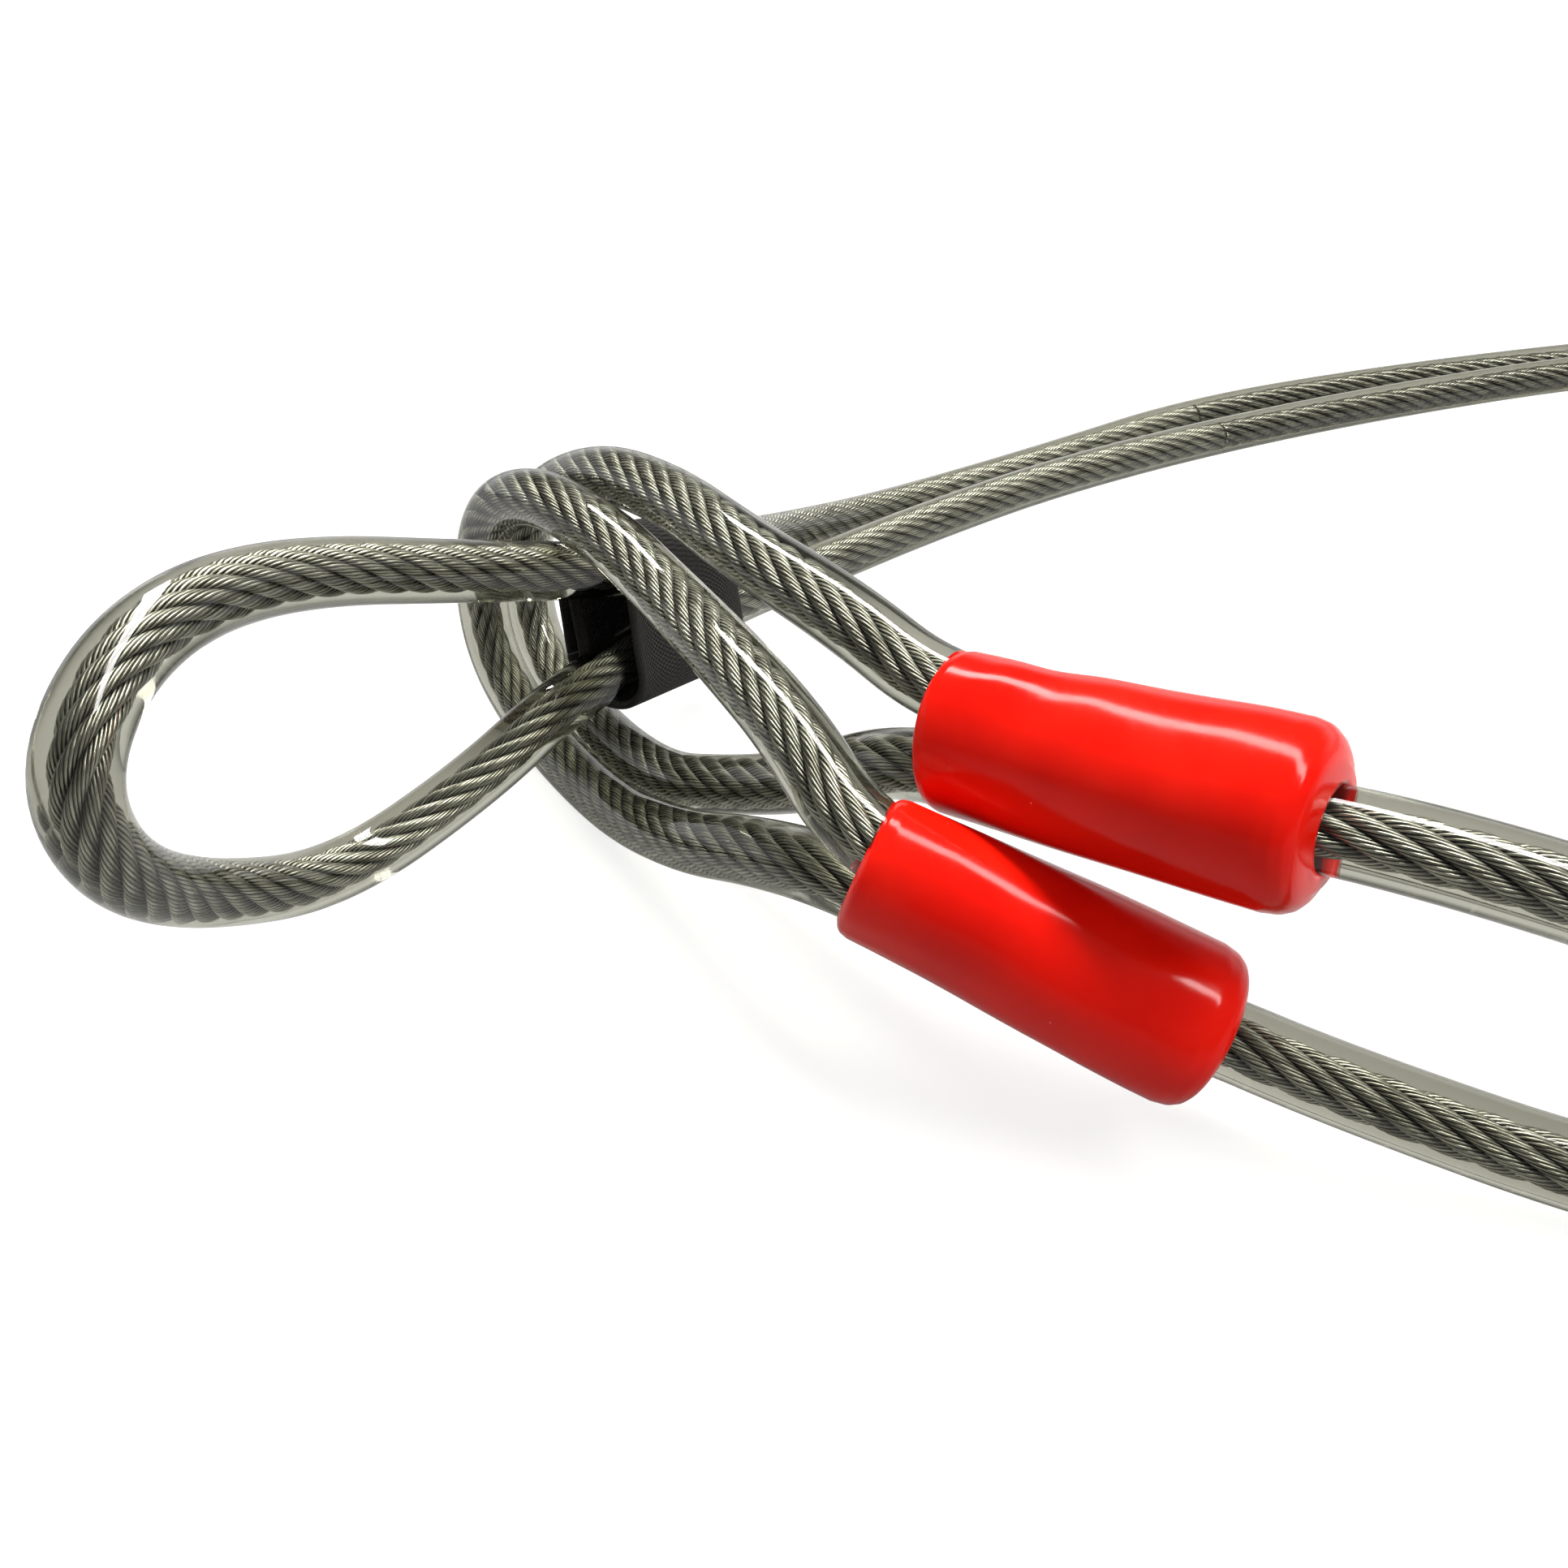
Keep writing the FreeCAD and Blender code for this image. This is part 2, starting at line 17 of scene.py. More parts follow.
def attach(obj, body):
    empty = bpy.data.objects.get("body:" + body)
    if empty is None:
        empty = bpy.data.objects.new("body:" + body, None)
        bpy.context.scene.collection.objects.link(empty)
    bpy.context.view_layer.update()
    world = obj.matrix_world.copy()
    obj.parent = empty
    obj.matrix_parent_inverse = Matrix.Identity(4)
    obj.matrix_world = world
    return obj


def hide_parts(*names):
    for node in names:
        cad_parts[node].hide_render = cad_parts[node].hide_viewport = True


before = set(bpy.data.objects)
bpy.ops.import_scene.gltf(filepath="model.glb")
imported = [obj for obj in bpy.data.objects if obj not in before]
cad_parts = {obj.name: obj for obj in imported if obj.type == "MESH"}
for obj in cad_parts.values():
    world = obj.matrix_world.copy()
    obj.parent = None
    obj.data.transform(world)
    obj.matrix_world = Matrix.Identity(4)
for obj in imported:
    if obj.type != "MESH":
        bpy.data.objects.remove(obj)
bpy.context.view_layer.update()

# %% [markdown]
# ## The camera
# The picture was taken from close by with a wide lens, which is why the near covers look so large and the far
# strands thin out so fast. A camera is an object whose own -Z looks forward, so its matrix is built from three
# directions: right, up and back. The slight roll tips the horizon by a few degrees.

# %% Camera at the photograph's place
MM = 0.001
LENS_MM = 27.95
LOOK_DOWN = math.radians(33.5)
ROLL = math.radians(-5.5)

level_up = Vector((0, math.sin(LOOK_DOWN), math.cos(LOOK_DOWN)))
forward = Vector((0, math.cos(LOOK_DOWN), -math.sin(LOOK_DOWN)))
level_right = Vector((1, 0, 0))
right = math.cos(ROLL) * level_right + math.sin(ROLL) * level_up
up = math.cos(ROLL) * level_up - math.sin(ROLL) * level_right

camera = bpy.data.objects.new("camera", bpy.data.cameras.new("camera"))
camera.data.lens = LENS_MM
camera.data.sensor_width = 36.0
camera.data.clip_start = 0.005
turn = Matrix((right, up, -forward)).transposed().to_4x4()
camera.matrix_world = Matrix.Translation((-0.192, -0.215, 0.1248)) @ turn
bpy.context.scene.collection.objects.link(camera)
bpy.context.scene.camera = camera
print("camera at", [round(x, 3) for x in camera.matrix_world.translation])

# %% [markdown]
# ## The three lengths of cable
# A cable never makes a sharp corner, so each length follows a smooth spline whose control points were laid one
# by one: up out of a cover, round an eye and back, or all the way round the doubled ring. The covers fix where
# each length starts and ends, so those end points are worked out from the covers' own places.

# %% Sizes of the cable and places of the covers
# the vinyl jacket's diameter, and the bare rope's
CABLE = 10.0 * MM
ROPE = 4.4 * MM
# half the distance between an eye's two legs in the cover's mouth
LEG_OFFSET = 5.02 * MM
COVER_LENGTH = 47.0 * MM
COVER_OUTER = 21.4 * MM
COVER_NARROW = 18.0 * MM
COVER_WALL = 0.75 * MM
# depths in the cover: where the vinyl is stripped off the legs, and where the ferrule ends
JACKET_INSET = 7.0 * MM
FERRULE_END = 28.0 * MM
# the cable's bend from the lower bore to the middle starts and ends this far from the ferrule and the tail
BEND_START = 6.0 * MM
BEND_END = 4.5 * MM
STRAIGHT_OUT = 2.0 * MM

# the middles of mouth and tail, and the way from the lower leg to the upper one
COVER_SEATS = {
    "a": ((-0.1830, -0.0940, 0.0318), (-0.1432, -0.1122, 0.0147), (0.20, -0.42, 0.89)),
    "b": ((-0.1703, -0.0810, 0.0420), (-0.1366, -0.1137, 0.0460), (0.30, 0.10, 0.94)),
}

def frame_along(start, end, way):
    """The 3 by 3 axes of a piece: columns are X (the given way, squared up), Y and Z (from start to end)."""
    axis = np.subtract(end, start)
    axis = axis / np.linalg.norm(axis)
    across = np.array(way) - axis * np.dot(way, axis)
    across = across / np.linalg.norm(across)
    return np.stack([across, np.cross(axis, across), axis], axis=1)

def in_seat(side, depth, offset):
    """A point in a cover: its depth behind the mouth, and its offset along the way the legs stack."""
    mouth, tail, way = COVER_SEATS[side]
    return tuple(np.array(mouth) + frame_along(mouth, tail, way) @ np.array([offset, 0, depth]))

print("covers:", list(COVER_SEATS), "length in mm:", COVER_LENGTH / MM)

# %% The listed routes
EYE_ROUTES = {
    "a": [
        (-0.1900, -0.0810, 0.0440), (-0.1980, -0.0635, 0.0466), (-0.2065, -0.0440, 0.0477),
        (-0.2157, -0.0285, 0.0516), (-0.2295, -0.0100, 0.0542), (-0.2420, 0.0075, 0.0462),
        (-0.2490, 0.0150, 0.0300), (-0.2495, 0.0120, 0.0135), (-0.2400, -0.0060, 0.0052),
        (-0.2230, -0.0360, 0.0050), (-0.2085, -0.0615, 0.0143), (-0.1965, -0.0775, 0.0230),
    ],
    "b": [
        (-0.1815, -0.0675, 0.0532), (-0.1935, -0.0495, 0.0555), (-0.2060, -0.0265, 0.0577),
        (-0.2195, -0.0055, 0.0556), (-0.2346, 0.0150, 0.0446), (-0.2410, 0.0230, 0.0290),
        (-0.2417, 0.0213, 0.0114), (-0.2322, 0.0018, 0.0049), (-0.2150, -0.0296, 0.0058),
        (-0.2000, -0.0470, 0.0142), (-0.1880, -0.0600, 0.0222), (-0.1802, -0.0700, 0.0310),
    ],
}
MAIN_ROUTE = [
    (-0.1300, -0.1185, 0.0108), (-0.1030, -0.1330, 0.0064), (-0.0600, -0.1520, 0.0050), (0.0000, -0.1630, 0.0050),
    (0.0800, -0.1610, 0.0050), (0.1600, -0.1400, 0.0050), (0.2270, -0.0950, 0.0050), (0.2745, -0.0250, 0.0050),
    (0.2763, 0.0600, 0.0050), (0.2240, 0.1290, 0.0050), (0.1500, 0.1595, 0.0050), (0.0700, 0.1635, 0.0050),
    (0.0000, 0.1580, 0.0050), (-0.0610, 0.1445, 0.0052), (-0.1130, 0.1140, 0.0055), (-0.1600, 0.0825, 0.0086),
    (-0.1863, 0.0484, 0.0186), (-0.2010, 0.0180, 0.0296), (-0.2170, -0.0070, 0.0370), (-0.2372, -0.0307, 0.0491),
    (-0.2580, -0.0560, 0.0626), (-0.2668, -0.0790, 0.0665), (-0.2718, -0.0961, 0.0585), (-0.2747, -0.0940, 0.0419),
    (-0.2760, -0.0760, 0.0230), (-0.2660, -0.0540, 0.0080), (-0.2440, -0.0375, 0.0142), (-0.2280, -0.0260, 0.0230),
    (-0.2050, 0.0086, 0.0198), (-0.1790, 0.0410, 0.0134), (-0.1490, 0.0680, 0.0108), (-0.1120, 0.0935, 0.0092),
    (-0.0600, 0.1210, 0.0064), (0.0000, 0.1410, 0.0050), (0.0700, 0.1520, 0.0050), (0.1450, 0.1480, 0.0050),
    (0.2160, 0.1180, 0.0050), (0.2620, 0.0550, 0.0050), (0.2600, -0.0220, 0.0050), (0.2180, -0.0850, 0.0050),
    (0.1500, -0.1270, 0.0050), (0.0800, -0.1470, 0.0060), (0.0100, -0.1510, 0.0140), (-0.0500, -0.1435, 0.0274),
    (-0.1030, -0.1280, 0.0388), (-0.1235, -0.1205, 0.0448),
]

def eye_points(side):
    """Out of the cover on the upper leg, round the eye, and back into the cover on the lower leg."""
    out = [in_seat(side, JACKET_INSET, LEG_OFFSET), in_seat(side, -STRAIGHT_OUT, LEG_OFFSET)]
    back = [in_seat(side, -STRAIGHT_OUT, -LEG_OFFSET), in_seat(side, JACKET_INSET, -LEG_OFFSET)]
    return out + EYE_ROUTES[side] + back

def ferrule_points(side):
    """From the ferrule's lower bore over to the middle of the cover's tail."""
    bends = ((FERRULE_END, -LEG_OFFSET), (FERRULE_END + BEND_START, -LEG_OFFSET), (COVER_LENGTH - BEND_END, 0))
    return [in_seat(side, depth, offset) for depth, offset in bends]

ROUTES = {
    "eye_a": eye_points("a"),
    "eye_b": eye_points("b"),
    "doubled": ferrule_points("a") + MAIN_ROUTE + ferrule_points("b")[::-1],
}
print({name: len(points) for name, points in ROUTES.items()}, "control points")

# %% [markdown]
# ## From a route to a line of rings
# Blender's own NURBS spline of order 3 rounds the route, and its points are then spaced evenly by length. A tube
# also needs to know which way is sideways at each ring. Carrying one sideways direction along the line with the
# least turning keeps a rope's strands from winding up in the bends.

# %% Spline, even spacing and carried frames
SPLINE_STEPS = 60
# any direction that no line starts along
FIRST_GUESS = (0.3, 0.5, 0.81)

def spline_line(name, points):
    """The points of the NURBS spline of order 3 that the route's points control."""
    curve = bpy.data.curves.new(name + "_route", "CURVE")
    curve.dimensions = "3D"
    curve.resolution_u = SPLINE_STEPS
    spline = curve.splines.new("NURBS")
    spline.points.add(len(points) - 1)
    spline.points.foreach_set("co", np.c_[np.array(points), np.ones(len(points))].ravel())
    spline.order_u = 3
    spline.use_endpoint_u = True
    holder = bpy.data.objects.new(name + "_route", curve)
    mesh = bpy.data.meshes.new_from_object(holder)
    line = np.zeros(len(mesh.vertices) * 3)
    mesh.vertices.foreach_get("co", line)
    bpy.data.objects.remove(holder)
    bpy.data.curves.remove(curve)
    bpy.data.meshes.remove(mesh)
    return line.reshape(-1, 3)

def travelled_along(line):
    """The length travelled at each point of a line."""
    return np.r_[0, np.cumsum(np.linalg.norm(np.diff(line, axis=0), axis=1))]

def evenly(line, step):
    """The same line at equal steps: each coordinate is read against the length travelled."""
    travelled = travelled_along(line)
    marks = np.linspace(0, travelled[-1], max(2, round(travelled[-1] / step) + 1))
    return np.stack([np.interp(marks, travelled, line[:, i]) for i in range(3)], axis=1)

def unit(vectors):
    """Each vector divided by its own length."""
    return vectors / np.linalg.norm(vectors, axis=-1, keepdims=True)

def carried_frames(line):
    """Side and third direction at each ring: the last ring's side less its part along the line, made a unit."""
    tangent = unit(np.gradient(line, axis=0))
    sides = [unit(np.cross(tangent[0], FIRST_GUESS))]
    for after in tangent[1:]:
        sides.append(unit(sides[-1] - after * np.dot(sides[-1], after)))
    sides = np.array(sides)
    return sides, np.cross(tangent, sides)

LINES = {name: spline_line(name, points) for name, points in ROUTES.items()}
LENGTHS = {name: float(travelled_along(line)[-1]) for name, line in LINES.items()}
print("lengths in mm:", {name: round(length / MM) for name, length in LENGTHS.items()})

# %% [markdown]
# ## A mesh from a grid of points
# Every new piece is a grid: rings one way, and points round the ring the other way. One helper turns such a grid
# into a mesh, closes its ends with fans, and stores the two grid coordinates as a UV map in metres, so that
# patterns can follow the surface.

# %% Grid to mesh

def grid_piece(name, grid, close_rings=False, uv_size=(1.0, 1.0)):
    """A mesh whose rows are rings of points. The rows join to a loop with close_rings, or end in flat fans."""
    rows, across = grid.shape[:2]
    index = np.arange(rows * across).reshape(rows, across)
    low, high = (index, np.roll(index, -1, axis=0)) if close_rings else (index[:-1], index[1:])
    quads = np.stack([low, np.roll(low, -1, axis=1), np.roll(high, -1, axis=1), high], axis=-1)
    quads = quads.reshape(-1, 4)
    points = grid.reshape(-1, 3)
    faces = quads.tolist()
    if not close_rings:
        points = np.vstack([points, grid[0].mean(axis=0), grid[-1].mean(axis=0)])
        first, last = len(points) - 2, len(points) - 1
        ring = np.arange(across)
        faces += np.stack([np.full(across, first), np.roll(ring, -1), ring], axis=1).tolist()
        top = ring + (rows - 1) * across
        faces += np.stack([np.full(across, last), top, np.roll(top, -1)], axis=1).tolist()
    mesh = bpy.data.meshes.new(name)
    mesh.from_pydata(points, [], faces)
    v, u = np.divmod(np.arange(low.size), across)
    corners = np.stack([u, v, u + 1, v, u + 1, v + 1, u, v + 1], axis=1).reshape(-1, 2) / (across, len(low))
    layer = mesh.uv_layers.new(name="along")
    uv = np.zeros((len(layer.data), 2))
    uv[:len(corners)] = corners * uv_size
    layer.data.foreach_set("uv", uv.ravel())
    mesh.polygons.foreach_set("use_smooth", np.arange(len(faces)) < len(quads))
    mesh.update()
    piece = bpy.data.objects.new(name, mesh)
    bpy.context.scene.collection.objects.link(piece)
    return piece

def keep_number(piece, name, values):
    """Stores one number for each grid point, for a material to read. The middles of end fans get zero."""
    numbers = np.zeros(len(piece.data.vertices), np.float32)
    numbers[:values.size] = values.ravel()
    piece.data.attributes.new(name, "FLOAT", "POINT").data.foreach_set("value", numbers)

def joined(name, pieces):
    """Several meshes made one object."""
    with bpy.context.temp_override(active_object=pieces[0], selected_editable_objects=pieces):
        bpy.ops.object.join()
    pieces[0].name = name
    pieces[0].data.name = name
    return pieces[0]

# %% [markdown]
# ## The clear vinyl jacket
# The jacket is extruded straight onto the rope, so it is one solid skin with no air between: light bends once at
# its surface and then meets the wires, which makes the rope look half as wide again as it is. A plain closed
# tube with real glass-like refraction does that by itself, if the rope is inside it.

# %% Jackets
JACKET_STEP = 1.6 * MM
JACKET_SIDES = 40

def round_tube(line, radius, sides):
    """A round tube: at each ring, radius times (side cos t + third sin t), for t round the circle."""
    side, third = carried_frames(line)
    t = np.linspace(0, 2 * np.pi, sides, endpoint=False)
    circle = side[:, None] * np.cos(t)[None, :, None] + third[:, None] * np.sin(t)[None, :, None]
    return line[:, None] + radius * circle

JACKET_NODES = {
    "eye_a": ("jacket_eye_a",),
    "eye_b": ("jacket_eye_b",),
    "doubled": ("jacket_run_a", "jacket_bight", "jacket_run_b"),
}
jacket_lines = {name: evenly(line, JACKET_STEP) for name, line in LINES.items()}
jackets = {}
for name, nodes in JACKET_NODES.items():
    tube = round_tube(jacket_lines[name], CABLE / 2, JACKET_SIDES)
    jackets[name] = grid_piece("jacket_" + name + "_skin", tube, uv_size=(math.pi * CABLE, LENGTHS[name]))
    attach(jackets[name], "cable")
    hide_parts(*nodes)
print({j.name: len(j.data.polygons) for j in jackets.values()}, "faces")

# %% [markdown]
# ## The wire rope
# Six strands are laid in a right-hand helix round a seventh. Each strand is itself laid the other way round from
# fine wires, which is why the wires seem to run straight along the rope while the strands slant. A strand's
# outline is a ring of round wires, and turning that outline as it moves along draws every wire. Two numbers are
# kept at each point for the material: how deep it lies between two wires, and how deep between two strands.

# %% The outline of one strand
STRAND = ROPE / 3
ROPE_LAY = 33 * MM
WIRE_LAY = 15 * MM
WIRES = 12
WIRE_RING = 0.405 * STRAND
WIRE_RADIUS = 0.115 * STRAND
# the depth that counts as all the way down between two strands
STRAND_SHADE = 0.38 * STRAND

def strand_outline(points_per_wire):
    """The outline of a ring of wires: from the strand's middle to the far side of the nearest wire's circle."""
    angle = np.linspace(0, 2 * np.pi, WIRES * points_per_wire, endpoint=False)
    wire = 2 * np.pi / WIRES
    off = (angle + wire / 2) % wire - wire / 2
    beside = WIRE_RING * np.sin(off)
    return angle, WIRE_RING * np.cos(off) + np.sqrt(np.maximum(WIRE_RADIUS ** 2 - beside ** 2, 0))

# %% [markdown]
# The rope never lies quite in the middle of its vinyl: it wanders a little from side to side along the cable.
# Out of the camera's view, and where the far strands look thin, the rings are twice as far apart and have fewer
# points for each wire, which keeps every piece light.

# %% Rope stretches
ROPE_STEP = 1.1 * MM
WANDER = 0.22 * MM
WANDER_WAVES = (27 * MM, 41 * MM)
WANDER_FADE = 40 * MM
FERRULE_RUN = FERRULE_END - JACKET_INSET
# where the fine rope ends, in X: on the near runs, and on the far ones
VIEW_EDGE = 46 * MM
FAR_EDGE = -60 * MM
# how many steps from ring to ring, and how many points for each wire
FINE = (1, 4)
COARSE = (2, 2)

def into_ferrules(line):
    """The eye's line with a straight piece added at each end, where the bare rope runs on into the ferrule."""
    start = line[0] + unit(line[0] - line[1]) * FERRULE_RUN
    end = line[-1] + unit(line[-1] - line[-2]) * FERRULE_RUN
    return np.vstack([[start], line, [end]])

def rope_course(line):
    """The rope's own line at even steps with its frames, wandering round the jacket's line by WANDER."""
    line = evenly(line, ROPE_STEP)
    side, third = carried_frames(line)
    travelled = travelled_along(line)
    fade = np.clip(np.minimum(travelled, travelled[-1] - travelled) / WANDER_FADE, 0, 1)
    sideways = np.sin(travelled / WANDER_WAVES[0])
    other_way = np.sin(travelled / WANDER_WAVES[1] + 1)
    drift = side * sideways[:, None] + third * other_way[:, None]
    return line + WANDER * fade[:, None] * drift, side, third, travelled

def strand_grid(line, side, third, travelled, number, points_per_wire):
    """One strand: a helix round the rope's line, carrying the turning outline of its wires."""
    if number == 6:
        middle = line
        turning = 2 * np.pi * travelled / WIRE_LAY
    else:
        around = 2 * np.pi * (travelled / ROPE_LAY + number / 6)
        middle = line + STRAND * (side * np.cos(around)[:, None] + third * np.sin(around)[:, None])
        turning = -2 * np.pi * travelled / WIRE_LAY + number
    angle, reach = strand_outline(points_per_wire)
    t = angle[None] + turning[:, None]
    spoke = side[:, None] * np.cos(t)[..., None] + third[:, None] * np.sin(t)[..., None]
    return middle[:, None] + reach[None, :, None] * spoke

def rope_stretch(name, course, start, end, stride, points_per_wire):
    """Seven strands along a part of a course, joined as one mesh of seven closed tubes."""
    line, side, third, travelled = (values[start:end + 1:stride] for values in course)
    reach = strand_outline(points_per_wire)[1]
    wire_dip = (reach.max() - reach) / (reach.max() - reach.min())
    strands = []
    for number in range(7):
        grid = strand_grid(line, side, third, travelled, number, points_per_wire)
        size = (math.pi * STRAND, len(line) * stride * ROPE_STEP)
        strand = grid_piece("%s_%d" % (name, number), grid, uv_size=size)
        from_middle = np.linalg.norm(grid - line[:, None], axis=2)
        keep_number(strand, "wire_dip", np.broadcast_to(wire_dip, from_middle.shape))
        keep_number(strand, "strand_dip", np.clip((ROPE / 2 - from_middle) / STRAND_SHADE, 0, 1))
        strands.append(strand)
    rope = joined(name, strands)
    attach(rope, "cable")
    print(name, len(rope.data.polygons), "faces")
    return rope

# %% Ropes of the eyes
ropes = {"eye_a": [], "eye_b": [], "doubled": []}
for name in ("eye_a", "eye_b"):
    course = rope_course(into_ferrules(LINES[name]))
    rings = len(course[0]) - 1
    for part, start, end in (("upper", 0, rings // 2), ("lower", rings // 2, rings)):
        rope = rope_stretch("rope_%s_%s_wires" % (name, part), course, start, end, *FINE)
        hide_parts("rope_" + name)
        ropes[name].append(rope)

# %% Rope of the doubled length
# The loop's stretch starts and ends inside the strap. The coarse stretches lap a ring or two over their
# neighbours, so that no gap shows.
course = rope_course(LINES["doubled"])
edges = np.where(course[0][:, 1] < 0, VIEW_EDGE, FAR_EDGE)
leaves = np.flatnonzero(np.diff(np.sign(course[0][:, 0] - edges)))
STRAP_MIDDLE = np.array([-0.2125, -0.0010, 0.0278])
to_strap = np.linalg.norm(course[0] - STRAP_MIDDLE, axis=1)
half = len(to_strap) // 2
loop_starts = int(np.argmin(to_strap[:half]))
loop_ends = half + int(np.argmin(to_strap[half:]))
STRETCHES = (
    ("rope_near_a_wires", 0, leaves[0], FINE, "rope_run_a"),
    ("rope_ring_out_wires", leaves[0] - 1, leaves[1] + 2, COARSE, None),
    ("rope_neck_top_wires", leaves[1], loop_starts, FINE, None),
    ("rope_loop_wires", loop_starts, loop_ends, FINE, "rope_bight"),
    ("rope_neck_low_wires", loop_ends, leaves[2], FINE, None),
    ("rope_ring_back_wires", leaves[2] - 1, leaves[3] + 1, COARSE, None),
    ("rope_near_b_wires", leaves[3], len(course[0]) - 1, FINE, "rope_run_b"),
)
print("leaves the view at rings", leaves.tolist(), "loop from ring", loop_starts, "to", loop_ends)
for name, start, end, grain, node in STRETCHES:
    rope = rope_stretch(name, course, int(start), int(end), *grain)
    if node:
        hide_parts(node)
    ropes["doubled"].append(rope)

# %% [markdown]
# ## The dipped vinyl covers
# Each cover was a bright cap pushed over the crimp while soft. Its mouth is an oval that takes both legs of the
# eye, and its tail is a round dome with a hole for the single cable. The skin is a profile carried from the
# mouth to the tail and back inside, so the wall has a real thickness. Where the vinyl shrank on to the crimp it
# has shallow dents, and these make the long highlight waver.

# %% Cover shapes
COVER_STEPS = 96
COVER_SIDES = 112
# the gap between the cover's openings and the cable, and the thickness of the tail round its hole
COVER_FIT = 0.05 * MM
TAIL_WALL = 1.4 * MM
# how far into the mouth its inner lip runs, and where its rounded edge starts
LIP_END = 2.0 * MM
LIP_START = 0.35 * MM
# no dents this near to the mouth and the tail, as a share of the length
DENT_FADE = 0.06
# the last rings close round the cable, which leans as it leaves the tail
CLOSING_SHARE = 0.997
# how much further than the frame's cover each dipped tail reaches over the cable
TAIL_REACH = {"a": 0.2 * MM, "b": 1.3 * MM}
# depth as a share of the length, how much smaller than the full width in mm, and roundness from oval to circle
COVER_PROFILE = np.array([
    (0.0, 3.2, 0.0), (0.011, 1.35, 0.0), (0.022, 0.54, 0.0), (0.045, 0.0, 0.0), (0.12, 0.0, 0.05),
    (0.27, 0.0, 0.25), (0.42, 0.05, 0.5), (0.57, 0.15, 0.75), (0.72, 0.25, 0.95), (0.84, 0.3, 1.0),
    (0.915, 0.35, 1.0), (0.952, 1.05, 1.0), (0.975, 2.4, 1.0), (0.989, 4.3, 1.0), (0.997, 7.2, 1.0),
    (1.0, 10.2, 1.0),
])
# each dent: where along the length, degrees round from the top leg, depth in mm (a swelling is below zero), and
# its reach as a share of the length and in degrees
DENTS = {
    "a": [(0.20, 34, 0.24, 0.07, 26), (0.36, 18, -0.14, 0.08, 24), (0.56, 34, 0.18, 0.10, 26),
          (0.80, 10, -0.10, 0.07, 30), (0.35, 110, 0.15, 0.16, 35), (0.70, 150, 0.18, 0.14, 30)],
    "b": [(0.28, -12, 0.30, 0.09, 26), (0.19, 20, -0.22, 0.06, 22), (0.31, 38, 0.34, 0.07, 22),
          (0.45, 22, -0.20, 0.07, 24), (0.60, 40, 0.22, 0.09, 24), (0.80, 24, -0.14, 0.08, 26),
          (0.50, 95, -0.14, 0.18, 30), (0.86, -30, -0.75, 0.26, 55)],
}

def cover_outline(share, round_angle, inset):
    """An oval: half its width along the stack times cos t, half its thickness across times sin t."""
    smaller = np.interp(share, COVER_PROFILE[:, 0], COVER_PROFILE[:, 1]) * MM
    roundness = np.interp(share, COVER_PROFILE[:, 0], COVER_PROFILE[:, 2])
    wide = COVER_OUTER - smaller - 2 * inset
    thin = wide - (COVER_OUTER - COVER_NARROW) * (1 - roundness)
    return wide / 2 * np.cos(round_angle), thin / 2 * np.sin(round_angle)

def dent_depth(side, share, round_angle):
    """The sum of bell-shaped dents, each falling off along the cover and round it, plus a slow ripple."""
    depth = 0.05 * MM * np.sin(11 * share + 2 * np.sin(round_angle)) * np.sin(2 * round_angle + 5 * share)
    for at, degrees, deep, long_share, wide_degrees in DENTS[side]:
        turn_away = (np.degrees(round_angle) - degrees + 180) % 360 - 180
        bell = np.exp(-((share - at) / long_share) ** 2 - (turn_away / wide_degrees) ** 2)
        depth = depth + deep * MM * bell
    return depth

def cable_in_tail(side, depth):
    """Where the cable's middle is at a depth: its line in the cover's own frame, read at that depth."""
    mouth, tail, way = COVER_SEATS[side]
    line = (jacket_lines["doubled"] - np.array(mouth)) @ frame_along(mouth, tail, way)
    near = np.hypot(line[:, 0], line[:, 1]) < CABLE
    order = np.argsort(line[near, 2])
    return np.stack([np.interp(depth, line[near, 2][order], line[near, axis][order]) for axis in (0, 1)])

def mouth_outline(round_angle):
    """A slot that fits the two legs: two half circles round the legs, joined by straight sides."""
    fit = CABLE / 2 + COVER_FIT
    spoke = np.stack([np.cos(round_angle), np.sin(round_angle)], axis=-1)
    straight = fit / np.maximum(np.abs(spoke[:, 1]), 1e-6)
    along = np.abs(spoke[:, 0]) * LEG_OFFSET
    end = along + np.sqrt(np.maximum(fit ** 2 - (LEG_OFFSET * spoke[:, 1]) ** 2, 0))
    reach = np.where(straight * np.abs(spoke[:, 0]) <= LEG_OFFSET, straight, end)
    return spoke * reach[:, None]

